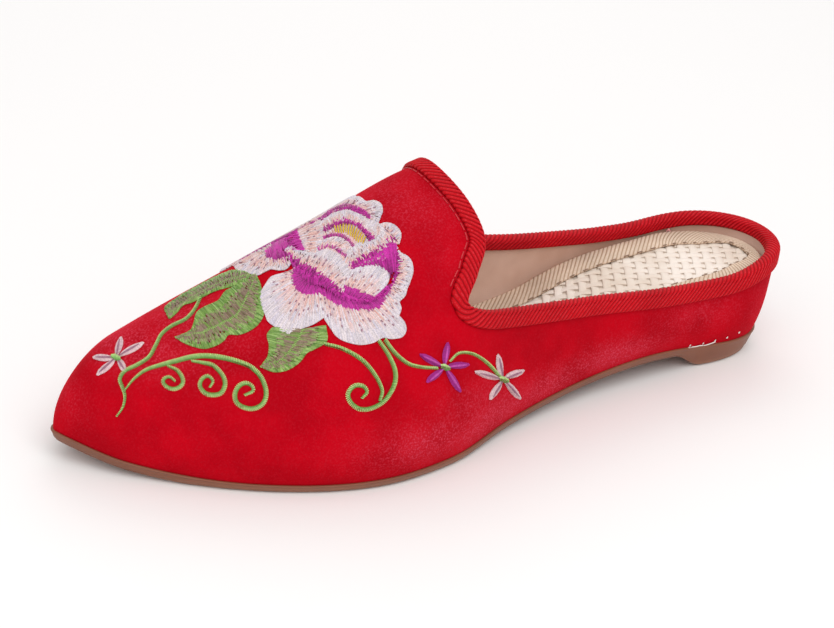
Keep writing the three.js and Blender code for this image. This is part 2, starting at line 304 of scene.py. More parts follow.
def grained(tree, place, size, strength, depth, roughness=0.5):
    """A fine grain of a size, and the bumps that it raises."""
    fineness = {"Scale": 1 / size, "Detail": 2, "Roughness": roughness}
    grain = add_node(tree, "ShaderNodeTexNoise", fineness, {"Vector": place})
    bump = add_node(tree, "ShaderNodeBump", {"Strength": strength, "Distance": depth}, {"Height": grain})
    return grain, bump


def dress(piece, material, slot, *nodes):
    """Gives a finished piece its material and its place on the frame, and hides the solids that it stands
    for.
    """
    if material.name not in piece.data.materials:
        piece.data.materials.clear()
        piece.data.materials.append(material)
    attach(piece, "root")
    if nodes:
        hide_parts(*nodes)


sole_lip = 0.7 * mm
sole_taper = 2.4 * mm
sole_edge_round = 0.9 * mm
sole_edge_share = 0.3
sole_side_rises = (0.3, 0.5, 0.7, 0.85)
heel_tip_length = 34 * mm
heel_breast = 13 * mm
sole_stations = 260
breast_stations = 20
rubber_tan = 0x90593F
rubber_dark = 0x6F402C
rubber_pale_tread = 0xA87A62
rubber_cloud = 16.67 * mm
mould_grain = 0.35 * mm


def ground_at(x):
    u = np.clip(x / last_length, 0, 1) * last_length
    arch = np.maximum(0, feather_at(u) - shank_sole)
    return arch * ease((x - heel_tip_length) / heel_breast)


def sole_column(turn):
    """Points up the sole's edge at each turn: a round tread corner, a tapered side and a softer top."""
    top = level_point(turn, flat(0), 0, sole_lip)
    ground = ground_at(top[:, 0])
    taper = sole_taper * np.clip((top[:, 2] - ground) / heel_seat, 0, 1)
    bottom = level_point(turn, flat(0), 0, sole_lip - taper)
    bottom[:, 2] = ground_at(bottom[:, 0])
    inward = unit((level_point(turn, flat(0), 0, 0) - top) * (1, 1, 0))
    height = top[:, 2] - bottom[:, 2]
    edge_round = np.minimum(sole_edge_round, height * sole_edge_share)
    points = []
    for angle in np.linspace(0, math.pi / 2, 5):
        lift = (edge_round * (1 - math.cos(angle)))[:, None] * (0, 0, 1)
        points.append(bottom + inward * (edge_round * (1 - math.sin(angle)))[:, None] + lift)
    for rise in sole_side_rises:
        points.append(mix(bottom, top, np.maximum(rise, edge_round / height)[:, None]))
    for angle in np.linspace(0, math.pi / 2, 4):
        drop = (edge_round / 2 * (1 - math.sin(angle)))[:, None] * (0, 0, 1)
        points.append(top + inward * (edge_round / 2 * (1 - math.cos(angle)))[:, None] - drop)
    return np.stack(points, 1)


stations = np.linspace(0, 1, sole_stations + 1)
breast = np.linspace(heel_tip_length, heel_tip_length + heel_breast, breast_stations)
stations = np.sort(np.concatenate((stations, np.arccos(1 - 2 * breast / last_length) / math.pi)))
sole_rings = np.concatenate((sole_column(stations), sole_column(2 - stations)[:, ::-1]), 1)
outsole = add_mesh("outsole_unit", sole_rings, loop_columns=False)

# Satin rubber from a mould: even tan, a little darker in the mould's grain, and paler towards the tread edge
rubber, tree, place = new_material("moulded_rubber")
body, cloud = clouded(tree, place, rubber_dark, rubber_tan, rubber_cloud)
_, bump = grained(tree, place, mould_grain, 0.25, 0.08 * mm)
height = add_node(tree, "ShaderNodeSeparateXYZ", links={0: place})
tread = add_node(tree, "ShaderNodeMapRange", {1: 2.2 * mm, 2: 0.2 * mm}, {0: height.outputs["Z"]})
tread_paling = add_node(tree, "ShaderNodeMath", {1: 0.45}, {0: tread}, operation="MULTIPLY")
varied = add_node(tree, "ShaderNodeMix", {7: linear(rubber_pale_tread)}, {0: tread_paling, 6: body}, data_type="RGBA")
satin = add_node(tree, "ShaderNodeMapRange", {3: 0.42, 4: 0.6}, {0: cloud})
surface = add_node(
    tree,
    "ShaderNodeBsdfPrincipled",
    {"IOR": 1.5},
    {"Base Color": varied.outputs[2], "Roughness": satin, "Normal": bump},
)
add_node(tree, "ShaderNodeOutputMaterial", links={0: surface})
dress(outsole, rubber, "rubber", "outsole")


# Upper: silk velvet over a thin backing, drawn over the last and turned in under the footbed.
# The pile is crushed in patches along the lower side, the rims and the toe, where its colour is painted
# lighter, partly as painted highlight.
side_collar = 31.8 * mm
notch_height = 48.5 * mm
throat_at = 0.54 * last_length
notch_at = throat_at + 5.5 * mm
nose_share = 0.24
clearance = 0.3 * mm
wall = 2 * mm
velvet_thickness = 1.1 * mm
lasting_margin = 6 * mm
toe_margin_share = 0.7
toe_margin_focus = 40
shell_columns = 520
shell_rows = 84
velvet_red = 0xBA0216
velvet_deep = 0xA60112
# The crushed colour is painted lighter than the velvet, partly as painted highlight
velvet_crushed = 0xC83A4E
velvet_sheen = 0xFF3048
pile_grain = 0.6 * mm
pile_cloud = 16 * mm

collar_columns = "along reach back heel notch peak".split()
collar = np.array([
    (0, 0, 0, 1, 0, 0),
    (0.1, 0.1, 0, 0.62, 0, 0),
    (0.18, 0.22, 0, 0.05, 0, 0),
    (0.27, 0.36, 0, 0, 0.03, 0),
    (0.4, 0.6, 0, 0, 0.24, 0),
    (0.52, 0.83, 0, 0, 0.51, 0),
    (0.61, 0.945, 0, 0, 0.72, 0),
    (0.7, 1, 0, 0, 1, 0),
    (0.79, 1, 0.95, 0, 1, 0.23),
    (0.88, 1, 1.9, 0, 1, 0.5),
    (0.95, 1, 1.55, 0, 1, 0.8),
    (1, 1, 1, 0, 1, 1),
])
peak_height = ridge_at(np.array(throat_at))


def feather_line(s):
    return np.stack([s * last_length, feather_at(s * last_length)], -1)


def collar_line(s):
    part = {name: through(collar, i, s) for i, name in enumerate(collar_columns)}
    u = part["reach"] * notch_at + part["back"] * (throat_at - notch_at)
    z = mix(side_collar, heel_collar, part["heel"]) + part["notch"] * (notch_height - side_collar)
    z = z + part["peak"] * (peak_height - notch_height)
    return np.stack([u, np.minimum(z, ridge_at(u))], -1)


def heel_line(r):
    return np.stack([0 * r, mix(heel_seat, heel_collar, r)], -1)


def ridge_line(r):
    angle = math.pi / 2 * np.minimum(1, r / nose_share)
    past = np.maximum(0, (r - nose_share) / (1 - nose_share))
    nose_start = last_length - nose_round
    u = nose_start + nose_round * np.cos(angle) - past * (nose_start - throat_at)
    return np.stack([u, ridge_at(u)], -1)


def skin(turn, r):
    """The upper's skin. turn goes round it, 0 at the heel back and 1 at the toe, and r from the sole up."""
    turn, r = np.broadcast_arrays(np.asarray(turn, float), np.asarray(r, float))
    s = length_share(turn)
    zero, one = 0 * s, 0 * s + 1
    s1, r1 = s[..., None], r[..., None]
    across = mix(feather_line(s), collar_line(s), r1) + mix(heel_line(r), ridge_line(r), s1)
    low = mix(feather_line(zero), feather_line(one), s1)
    high = mix(collar_line(zero), collar_line(one), s1)
    place = across - mix(low, high, r1)
    return skin_point(np.clip(place[..., 0], 0, last_length), place[..., 1], side_of(turn))


def directions(turn, r):
    low, high = np.maximum(0, r - turn_step), np.minimum(1, r + turn_step)
    along = (skin(turn + turn_step, r) - skin(turn - turn_step, r)) / (2 * turn_step)
    up = (skin(turn, high) - skin(turn, low)) / (high - low)[..., None]
    return along, up, unit(np.cross(up, along))


def off_skin(turn, r, distance):
    return skin(turn, r) + directions(turn, r)[2] * np.asarray(distance)[..., None]


def down_from_collar(turn, distance, steps=4):
    """The place so far down the skin from the collar at turn, square to the collar line."""
    t, r = np.array(turn, float), np.ones_like(turn, dtype=float)
    out = directions(t, r)[2]
    edge = skin(t + turn_step, r) - skin(t - turn_step, r)
    down = unit(np.cross(out, edge))
    pace = np.broadcast_to(np.asarray(distance, float), t.shape) / steps
    for _ in range(steps):
        along, up, out = directions(t, r)
        step = down - out * (down * out).sum(-1, keepdims=True)
        step = unit(step) * pace[..., None]
        aa, au, uu = (along * along).sum(-1), (along * up).sum(-1), (up * up).sum(-1)
        pa, pu = (step * along).sum(-1), (step * up).sum(-1)
        det = aa * uu - au * au
        t = t + (pa * uu - pu * au) / det
        r = r + (pu * aa - pa * au) / det
    return t, r, down


shell_turns = np.linspace(0, 2, shell_columns, endpoint=False)
shell_rises = np.linspace(0, 1, shell_rows) ** 1.15
turn_grid, rise_grid = np.meshgrid(shell_turns, shell_rises, indexing="ij")
velvet_face = skin(turn_grid, rise_grid)
shell_out = directions(turn_grid, rise_grid)[2]
toe_ease = mix(1, toe_margin_share, np.sin(math.pi * shell_turns / 2) ** toe_margin_focus)
margin = -wall - lasting_margin * toe_ease
tuck_low = level_point(shell_turns, flat(clearance), 0, margin)[:, None]
tuck_high = level_point(shell_turns, flat(clearance + velvet_thickness), 0, margin)[:, None]
velvet_back = (velvet_face - shell_out * velvet_thickness)[:, ::-1]
velvet_back[:, -1] = level_point(shell_turns, flat(clearance + velvet_thickness), -velvet_thickness, 0)
velvet_rings = np.concatenate((tuck_low, velvet_face, velvet_back, tuck_high), 1)

# Where the pile lies crushed and a painted highlight lies on it: distance from the heel back, height, the
# patch's reach both ways, and strength
crushed_patches = [
    (78, 15, 22, 5, 0.75),
    (104, 12, 16, 6, 0.8),
    (130, 11, 18, 7, 0.85),
    (155, 12, 20, 7, 0.6),
    (140, 20, 14, 6, 0.4),
    (150, 71, 14, 6, 0.3),
    (144, 62, 6, 8, 0.1),
    (235, 36, 20, 5, 0.65),
    (215, 43, 15, 6, 0.45),
    (247, 22, 4, 8, 0.2),
    (14, 21, 8, 9, 0.2),
    (45, 22, 18, 6, 0.3),
]
ring_points = velvet_rings.reshape(-1, 3)
crushed = np.zeros(len(ring_points))
for u, z, reach_u, reach_z, strength in crushed_patches:
    away = ((ring_points[:, 0] / mm - u) / reach_u) ** 2 + ((ring_points[:, 2] / mm - z) / reach_z) ** 2
    crushed = np.maximum(crushed, strength * np.exp(-away))
velvet_shell = add_mesh("velvet_upper", velvet_rings, crushed=crushed)

# Woven silk velvet: a dense cut pile, deep red head-on, with a pink sheen. Where it is crushed its colour is
# painted lighter with a fine sparkle, partly as painted highlight. The pile's grain is drawn at about half a
# millimetre, coarser than the real threads, to show
velvet, tree, place = new_material("silk_velvet")
crush_highlight_mask = add_node(tree, "ShaderNodeAttribute", attribute_name="crushed").outputs["Fac"]
body, cloud = clouded(tree, place, velvet_deep, velvet_red, pile_cloud, 0.35, 0.6, detail=4)
grain, bump = grained(tree, place, pile_grain, 0.5, 0.12 * mm, roughness=0.7)
patch = add_node(tree, "ShaderNodeMapRange", {1: 0.3, 2: 0.75, 3: 0.1, 4: 0.55}, {0: cloud})
lift = add_node(tree, "ShaderNodeMath", links={0: crush_highlight_mask, 1: patch}, operation="MULTIPLY")
sparkle = add_node(tree, "ShaderNodeMapRange", {1: 0.48, 2: 0.66, 4: 1.3}, {0: grain})
spots = add_node(tree, "ShaderNodeMath", {1: 0.06}, {0: crush_highlight_mask}, operation="ADD")
glint = add_node(tree, "ShaderNodeMath", links={0: sparkle, 1: spots}, operation="MULTIPLY")
total = add_node(tree, "ShaderNodeMath", links={0: lift, 1: glint}, operation="ADD", use_clamp=True)
coat = add_node(tree, "ShaderNodeMix", {7: linear(velvet_crushed)}, {0: total, 6: body}, data_type="RGBA")
surface = add_node(
    tree,
    "ShaderNodeBsdfPrincipled",
    {
        "Roughness": 0.8,
        "Specular IOR Level": 0.03,
        "Sheen Weight": 0.3,
        "Sheen Roughness": 0.4,
        "Sheen Tint": linear(velvet_sheen),
    },
    {"Base Color": coat.outputs[2], "Normal": bump},
)
add_node(tree, "ShaderNodeOutputMaterial", links={0: surface})
dress(velvet_shell, velvet, "velvet", "upper")


# Lining: a smooth beige cotton, glued to the back of the velvet and hidden under the binding and the footbed.
lining_gap = 0.06 * mm
lining_beige = 0xDDBBA9
lining_shade = 0xC79F8A
lining_thread = 0.7 * mm
lining_cloud = 22.2 * mm
lining_skip = 2
skipped_rows = 3
wave_unit = 0.314
lining_face = (velvet_face - shell_out * (velvet_thickness + lining_gap))[::lining_skip]
lining_back = (velvet_face - shell_out * wall)[::lining_skip, ::-1]
lining_rings = np.concatenate((lining_face[:, skipped_rows:], lining_back[:, :-skipped_rows]), 1)
lining_shell = add_mesh("lining", lining_rings)

# Plain-woven cotton: matt and pale, with crossing threads drawn as coarse as they need to show
cotton, tree, place = new_material("cotton_lining")
body, _ = clouded(tree, place, lining_shade, lining_beige, lining_cloud, 0.35, 0.65)
crossing = {}
for i, way in enumerate("XZ"):
    waves = {"Scale": wave_unit / lining_thread, "Distortion": 1.5, "Detail": 1}
    threads = add_node(tree, "ShaderNodeTexWave", waves, {"Vector": place}, bands_direction=way)
    crossing[i] = threads.outputs["Fac"]
weave = add_node(tree, "ShaderNodeMath", links=crossing, operation="MULTIPLY")
bump = add_node(tree, "ShaderNodeBump", {"Strength": 0.3, "Distance": 0.1 * mm}, {"Height": weave})
surface = add_node(
    tree,
    "ShaderNodeBsdfPrincipled",
    {"Roughness": 0.9, "Specular IOR Level": 0.2, "Sheen Weight": 0.15},
    {"Base Color": body, "Normal": bump},
)
add_node(tree, "ShaderNodeOutputMaterial", links={0: surface})
dress(lining_shell, cotton, "velvet", "upper")


# Embroidery: a peony with leaves, scrolled stems and small flowers, worked by machine in glossy thread.
# Petals and leaves are long and short stitches from rim to root, and stems are satin stitch over a cord.
# The design lies on the outer side and runs out over the ridge of the vamp.
thread_size = 0.4 * mm
thread_sides = 5
thread_twist = 0.35 * mm
stitch_gap = 1.1
stitch_rise = 0.3 * mm
stitch_points = 4
stitch_tones = (0.84, 1.06)
stitch_end_girth = 0.75
path_steps = 12
satin_full_width = 4
tooth_size = 3.6
tooth_most = 0.3
root_tooth_share = 0.4
layer_lift = 0.04 * mm
tick_gap = 7
tick_rows = (0.34, 0.5, 0.68)
tick_scatter = 0.12
tick_length = 2.2
tick_girth = 0.36
tick_odds = 0.6
tick_least_span = 15
tick_lift = 0.55
tick_shade_mauve = 0xA67C8C
petal_white = 0xE2D6D9
petal_lilac = 0xD3CAD8
petal_pink = 0xE4BAB2
petal_rose = 0xDCA39E
peony_magenta = 0xB81C90
peony_bright = 0xD234AA
peony_plum = 0x7E0E60
heart_yellow = 0xD9B20E
heart_pale = 0xE2C63C
leaf_green = 0x80A24C
leaf_pale = 0xA2C072
leaf_dark = 0x5A8238
leaf_taupe = 0x98806E
leaf_brown = 0x78664C
# Stem stitches run from the pale green to the dark green across the stem, as painted highlight and painted
# shade
stem_green_highlight = 0xD0F09C
stem_green_shade = 0x5DA044
star_pink = 0xE6C6CA
star_mauve = 0xA8788C
star_purple = 0xA81C88
star_violet_highlight = 0xC850B0

velvet_tree = BVHTree.FromPolygons(
    (velvet_face.reshape(-1, 3) + last_shift).tolist(),
    grid_faces(*velvet_face.shape[:2], loop_rows=False).tolist(),
)
draw = random.Random(7)
silhouette_steps = 28
silhouette_way = (0.5, 0.87)


def on_velvet(x, y, side=1):
    """Where a place in the photograph lies on the velvet, and the way out of it there.

    A place just past the silhouette is tried to and fro in growing steps until it meets the velvet. On side
    -1 the place is seen from the mirrored camera, on the inner side of the shoe.
    """
    for step in range(silhouette_steps):
        shift = (step + 1) // 2 * (1 if step % 2 else -1)
        away = right * ((x + silhouette_way[0] * shift - frame_width / 2) / focal_pixels)
        away -= upward * ((y + silhouette_way[1] * shift - frame_height / 2) / focal_pixels)
        away -= back
        eye = camera.location.copy()
        if side < 0:
            away.y = -away.y
            eye.y = 2 * last_shift[1] - eye.y
        place, normal = velvet_tree.ray_cast(eye, away.normalized())[:2]
        if place is not None:
            break
    return place, -normal if normal.dot(away) > 0 else normal


def way_along(points):
    """The length of the way along a row of points up to each of them."""
    return np.concatenate(([0], np.cumsum(np.linalg.norm(np.diff(points, axis=0), axis=1))))


def smooth_path(points, count):
    """Evenly spaced places on a smooth curve through the points."""
    points = np.array(points, float)
    ends = np.concatenate(([2 * points[0] - points[1]], points, [2 * points[-1] - points[-2]]))
    t = np.linspace(0, 1, path_steps, endpoint=False)[:, None]
    spans = []
    for a, b, c, d in zip(ends[:-3], ends[1:-2], ends[2:-1], ends[3:]):
        bend = t**2 * (a - 2.5 * b + 2 * c - d / 2) + t**3 * (1.5 * (b - c) + (d - a) / 2)
        spans.append(b + t / 2 * (c - a) + bend)
    curve = np.concatenate(spans + [points[-1:]])
    lengths = way_along(curve)
    at = np.linspace(0, lengths[-1], count)
    return np.stack([np.interp(at, lengths, curve[:, i]) for i in (0, 1)], -1)


def path_length(points):
    return way_along(np.array(points, float))[-1]


class Stitches:
    """The stitches of one embroidered piece, gathered before they are swept into threads."""

    def __init__(self):
        self.points, self.edges, self.colours, self.girths = [], [], [], []

    def add(self, start, end, lift, first, last, bow=1.0, girth=1.0, side=1):
        """One stitch between two places, from its first colour to its last. It arches up by its bow."""
        tone = draw.uniform(*stitch_tones)
        base = len(self.points)
        for k in range(stitch_points):
            t = k / (stitch_points - 1)
            place, normal = on_velvet(*mix(np.array(start), np.array(end), t), side)
            hill = (1 - (2 * t - 1) ** 4) * stitch_rise * bow
            self.points.append(tuple(np.array(place + normal * (lift + hill)) - last_shift))
            dye = mix(np.array(linear(first)), np.array(linear(last)), t)
            self.colours.append(dye * (tone, tone, tone, 1))
            self.girths.append(girth * (stitch_end_girth if k in (0, stitch_points - 1) else 1))
            if k:
                self.edges.append((base + k - 1, base + k))

    def fill(self, rim, root, bands, lift, gap=stitch_gap, girth=1.0, side=1):
        """Long and short stitches between two curves.

        A band goes from one share of the way in from the rim to another, in two palettes.
        """
        count = max(2, round(max(path_length(rim), path_length(root)) / gap))
        outer, inner = smooth_path(rim, count), smooth_path(root, count)
        for layer, (near, far, first, last) in enumerate(bands):
            for k in range(count):
                tooth = min(tooth_most, tooth_size / max(1, np.linalg.norm(inner[k] - outer[k])))
                a = near + draw.uniform(-tooth, tooth) * (near > 0)
                b = far + draw.uniform(-tooth, tooth) * (root_tooth_share if far == 1 else 1)
                up = lift + layer_lift * layer + draw.uniform(0, 0.1) * mm
                start, end = mix(outer[k], inner[k], a), mix(outer[k], inner[k], b)
                self.add(start, end, up, draw.choice(first), draw.choice(last), 1, girth, side)

    def ticks(self, rim, root, lift):
        """Short dark mauve stitches between the threads of a petal, where stitches go down into the cloth:
        painted shade in the slits there.
        """
        count = max(2, round(path_length(rim) / tick_gap))
        outer, inner = smooth_path(rim, count), smooth_path(root, count)
        for k in range(count):
            span = max(1, np.linalg.norm(inner[k] - outer[k]))
            for row in tick_rows:
                a = row + draw.uniform(-tick_scatter, tick_scatter)
                start, end = mix(outer[k], inner[k], a), mix(outer[k], inner[k], a + tick_length / span)
                if draw.random() < tick_odds and span > tick_least_span:
                    self.add(start, end, lift, tick_shade_mauve, tick_shade_mauve, 0.2, tick_girth)

    def satin(self, path, widths, lift, first, last, slant=0.45, gap=1.7, bow=1.9, girth=1.2):
        """Short slanting stitches across a path, raised over a cord. widths lie at even steps of the way."""
        count = max(3, round(path_length(path) / gap))
        way = smooth_path(path, count)
        ahead = unit(np.gradient(way, axis=0))
        across = np.stack([-ahead[:, 1], ahead[:, 0]], -1) + ahead * slant
        wide = np.interp(np.linspace(0, 1, count), np.linspace(0, 1, len(widths)), widths)
        for k in range(count):
            half = across[k] * wide[k] / 2
            up = lift + draw.uniform(0, 0.05) * mm
            arch = bow * min(1, wide[k] / satin_full_width)
            self.add(way[k] - half, way[k] + half, up, first, last, arch, girth)

    def piece(self, name, material):
        lines = add_lines(name, self.points, self.edges, thread_colour=self.colours, girth=self.girths)
        sweep(lines, thread_size, thread_size, thread_sides, material)
        dress(lines, material, "velvet")


def add_lines(name, points, edges, **values):
    """A piece of bare lines, for the sweep to turn into threads."""
    mesh = bpy.data.meshes.new(name)
    points = np.reshape(points, (-1, 3))
    mesh.from_pydata((points + last_shift).tolist(), edges, [])
    keep_values(mesh, {"girth": np.ones(len(points)), **values})
    return add_object(name, mesh)


def new_tree(name, sizes):
    """A geometry tree with named inputs for its sizes and material, and the sockets that bring them in."""
    tree = bpy.data.node_groups.new(name, "GeometryNodeTree")
    tree.interface.new_socket("Geometry", in_out="OUTPUT", socket_type="NodeSocketGeometry")
    for title, kind in {"Geometry": "Geometry", **sizes, "Material": "Material"}.items():
        tree.interface.new_socket(title, in_out="INPUT", socket_type="NodeSocket" + kind)
    return tree, add_node(tree, "NodeGroupInput").outputs


def end_tree(tree, geometry, material):
    """Ends a geometry tree: what it made becomes real mesh, in its material."""
    real = add_node(tree, "GeometryNodeRealizeInstances", links={0: geometry})
    dressed = add_node(tree, "GeometryNodeSetMaterial", links={"Geometry": real, "Material": material})
    add_node(tree, "NodeGroupOutput", links={0: dressed})
    return tree


def sweep_tree():
    """Geometry nodes that sweep a flat oval profile along every line of a mesh."""
    sizes = {"Thread width": "Float", "Thread height": "Float", "Sides": "Int"}
    tree, given = new_tree("swept_threads", sizes)
    lines = add_node(tree, "GeometryNodeMeshToCurve", links={0: given["Geometry"]})
    upright = add_node(tree, "GeometryNodeSetCurveNormal", links={0: lines}, mode="Z_UP")
    girth = add_node(tree, "GeometryNodeInputNamedAttribute", {"Name": "girth"}, data_type="FLOAT")
    sized = add_node(tree, "GeometryNodeSetCurveRadius", links={"Curve": upright, "Radius": girth})
    ring = add_node(tree, "GeometryNodeCurvePrimitiveCircle", {"Radius": 0.5}, {"Resolution": given["Sides"]})
    across = {"X": given["Thread width"], "Y": given["Thread height"]}
    scale = add_node(tree, "ShaderNodeCombineXYZ", {"Z": 1.0}, across)
    oval = add_node(tree, "GeometryNodeTransform", links={"Geometry": ring, "Scale": scale})
    curves = {"Curve": sized, "Profile Curve": oval}
    swept = add_node(tree, "GeometryNodeCurveToMesh", {"Fill Caps": True}, curves)
    return end_tree(tree, swept, given["Material"])


def grow(piece, tree, **inputs):
    """Runs a geometry tree on a piece with its named inputs, and keeps the result as a plain mesh."""
    modifier = piece.modifiers.new(tree.name, "NODES")
    modifier.node_group = tree
    for socket in tree.interface.items_tree:
        key = socket.name.lower().replace(" ", "_")
        if socket.in_out == "INPUT" and key in inputs:
            modifier[socket.identifier] = inputs[key]
    depsgraph = bpy.context.evaluated_depsgraph_get()
    grown = piece.evaluated_get(depsgraph)
    mesh = bpy.data.meshes.new_from_object(grown, preserve_all_data_layers=True, depsgraph=depsgraph)
    piece.modifiers.clear()
    piece.data = mesh
    mesh.name = piece.name
    mesh.shade_smooth()


swept_threads = sweep_tree()


def sweep(lines, width, height, sides, material):
    """Turns the lines of a piece into threads of a width and height."""
    grow(lines, swept_threads, thread_width=width, thread_height=height, sides=sides, material=material)


# Twisted viscose thread: smooth and glossy, dyed in clear colours, each stitch a little lighter or darker
viscose, tree, place = new_material("viscose_embroidery_thread")
dye = add_node(tree, "ShaderNodeAttribute", attribute_name="thread_colour")
twist = add_node(tree, "ShaderNodeTexNoise", {"Scale": 1 / thread_twist, "Detail": 1}, {"Vector": place})
tone = add_node(tree, "ShaderNodeMapRange", {1: 0.3, 2: 0.7, 3: 0.78, 4: 1.1}, {0: twist})
toned = add_node(tree, "ShaderNodeVectorMath", links={0: dye, "Scale": tone}, operation="SCALE")
surface = add_node(
    tree,
    "ShaderNodeBsdfPrincipled",
    {"Roughness": 0.45, "Specular IOR Level": 0.35, "Sheen Weight": 0.05, "Sheen Roughness": 0.3},
    {"Base Color": toned},
)
add_node(tree, "ShaderNodeOutputMaterial", links={0: surface})

# Stems: each a path in the photograph's pixels with its widths at even steps, also in pixels
main_stem = [
    (117, 416), (123, 407), (125, 396), (122, 386), (120, 379), (125, 371), (137, 365), (149, 357),
    (156, 345), (162, 334), (172, 326), (186, 319), (195, 309), (201, 297),
]
long_branch = [
    (125, 390), (134, 379), (146, 370), (161, 365), (176, 361), (192, 357), (208, 356), (224, 358),
    (239, 362), (251, 367), (261, 377), (266, 391), (264, 402), (256, 408), (246, 408), (237, 403),
    (235, 394), (239, 386), (246, 383), (252, 386), (253, 391), (245, 395),
]
first_scroll = [
    (168, 366), (178, 371), (183, 380), (181, 386), (174, 389), (167, 387), (163, 382), (165, 378),
    (170, 377), (175, 381),
]
second_scroll = [
    (192, 361), (204, 363), (214, 366), (223, 376), (225, 385), (221, 393), (213, 395), (205, 393),
    (200, 386), (202, 379), (208, 376), (213, 381), (210, 387),
]
right_scroll = [(325, 344), (343, 349), (362, 360), (375, 375), (382, 390), (380, 400)]
inner_scroll = [
    (379, 341), (389, 356), (395, 371), (394, 385), (385, 400), (372, 408), (360, 409), (351, 403),
    (348, 394), (354, 386), (363, 386), (367, 392), (362, 398),
]
flower_stem = [(385, 340), (394, 352), (407, 363), (421, 367), (437, 368)]
arched_stem = [(450, 361), (459, 353), (473, 354), (487, 363), (499, 376)]
stem_lift = 0.05 * mm
stems = Stitches()
# Each satin stitch runs from pale green at one edge to dark green at the other, as painted highlight and
# painted shade across the raised stem
for path, widths in [
    (main_stem, (1, 3, 3.4, 3, 3, 2.6)),
    (long_branch, (1, 2.8, 4.2, 4.6, 4.4, 4, 4, 4, 4, 2)),
    (first_scroll, (2, 3.4, 3.6, 3.4, 3, 1.6)),
    (second_scroll, (2, 3.6, 3.8, 4, 3.8, 3.2, 1.6)),
    (right_scroll, (3, 3.4, 3.6, 3.6, 3.2, 2.4)),
    (inner_scroll, (3.2, 3.6, 4, 3.8, 3.6, 4, 4, 3.8, 2)),
    (flower_stem, (3.6, 3.6, 3.2, 2.8, 2.4)),
    (arched_stem, (1.8, 2.2, 2.6, 3, 3)),
]:
    stems.satin(path, widths, stem_lift, stem_green_highlight, stem_green_shade)
stems.piece("embroidered_stems", viscose)

# Leaves: two rims and the midrib between them, from the root to the tip, in the photograph's pixels
lower_leaf_rims = [
    [(256, 275), (261, 286), (262, 300), (264, 314), (259, 324), (250, 331), (239, 335), (229, 335),
     (224, 341), (216, 346), (205, 349), (194, 347), (184, 343), (176, 338)],
    [(254, 275), (248, 277), (241, 283), (232, 288), (225, 292), (218, 301), (205, 307), (197, 313),
     (194, 323), (190, 331), (176, 338)],
]
lower_leaf_midrib = [
    (254, 277), (252, 287), (245, 301), (237, 315), (224, 323), (205, 332), (191, 335), (176, 338),
]
upper_leaf_rims = [
    [(251, 277), (241, 283), (232, 287), (217, 291), (204, 297), (192, 303), (183, 306), (177, 313),
     (170, 319), (168, 316)],
    [(250, 275), (243, 271), (232, 271), (218, 276), (204, 283), (189, 291), (176, 299), (165, 308),
     (168, 316)],
]
upper_leaf_midrib = [(250, 276), (232, 280), (214, 287), (196, 297), (180, 307), (168, 316)]
hanging_leaf_rims = [
    [(326, 326), (327, 341), (315, 349), (307, 353), (300, 362), (288, 370), (274, 372), (261, 367)],
    [(272, 328), (267, 335), (269, 345), (268, 356), (264, 362), (261, 367)],
]
hanging_leaf_midrib = [(303, 330), (295, 344), (283, 358), (270, 364), (261, 367)]
side_veins = [
    [(237, 315), (238, 330)], [(246, 301), (257, 309)], [(214, 313), (236, 312)], [(207, 331), (212, 321)],
    [(222, 324), (230, 331)], [(293, 346), (304, 347)], [(205, 331), (200, 342)], [(222, 300), (240, 303)],
]
greens = (leaf_green, leaf_green, leaf_pale, leaf_dark)
browns = (leaf_taupe, leaf_taupe, leaf_brown, leaf_green)
mixed = (leaf_green, leaf_taupe, leaf_taupe, leaf_pale)
leaf_bands = [(0, 0.45, greens, greens), (0.32, 0.66, mixed, browns), (0.55, 1.0, browns, browns)]
midrib_widths = (2.2, 2, 1.6)
vein_widths = (1.6, 1.4)
vein_lift = 0.35 * mm
leaves = Stitches()
for rims, midrib, lift in [
    (upper_leaf_rims, upper_leaf_midrib, 0.1),
    (lower_leaf_rims, lower_leaf_midrib, 0.12),
    (hanging_leaf_rims, hanging_leaf_midrib, 0.12),
]:
    for rim in rims:
        leaves.fill(rim, midrib, leaf_bands, lift * mm)
    leaves.satin(midrib, midrib_widths, vein_lift, leaf_pale, leaf_green, bow=1)
for vein in side_veins:
    leaves.satin(vein, vein_widths, vein_lift, leaf_pale, leaf_green, bow=1)
leaves.piece("embroidered_leaves", viscose)

# Peony: each petal a rim and a root in the photograph's pixels, listed from back to front
whites = (petal_lilac, petal_white, petal_white)
pinks = (petal_white, petal_pink, petal_pink, petal_rose)
blush = (petal_white, petal_pink, petal_pink, petal_lilac)
magentas = (peony_magenta, peony_bright, peony_bright)
plums = (peony_magenta, peony_plum)
pale = [(0, 0.4, whites, blush), (0.28, 0.72, blush, pinks), (0.6, 1.0, pinks, blush)]
broad = [
    (0, 0.34, whites, whites),
    (0.22, 0.58, whites, blush),
    (0.42, 0.86, blush, pinks),
    (0.77, 1.0, magentas, plums),
]
fringed = [
    (0, 0.4, whites, whites),
    (0.28, 0.7, whites, pinks),
    (0.55, 0.98, blush, pinks),
    (0.84, 1.08, magentas, plums),
]
solid = [(-0.06, 0.6, magentas, magentas), (0.4, 1.06, magentas, plums)]
golden = [(0, 1, (heart_yellow,), (heart_yellow, heart_pale))]
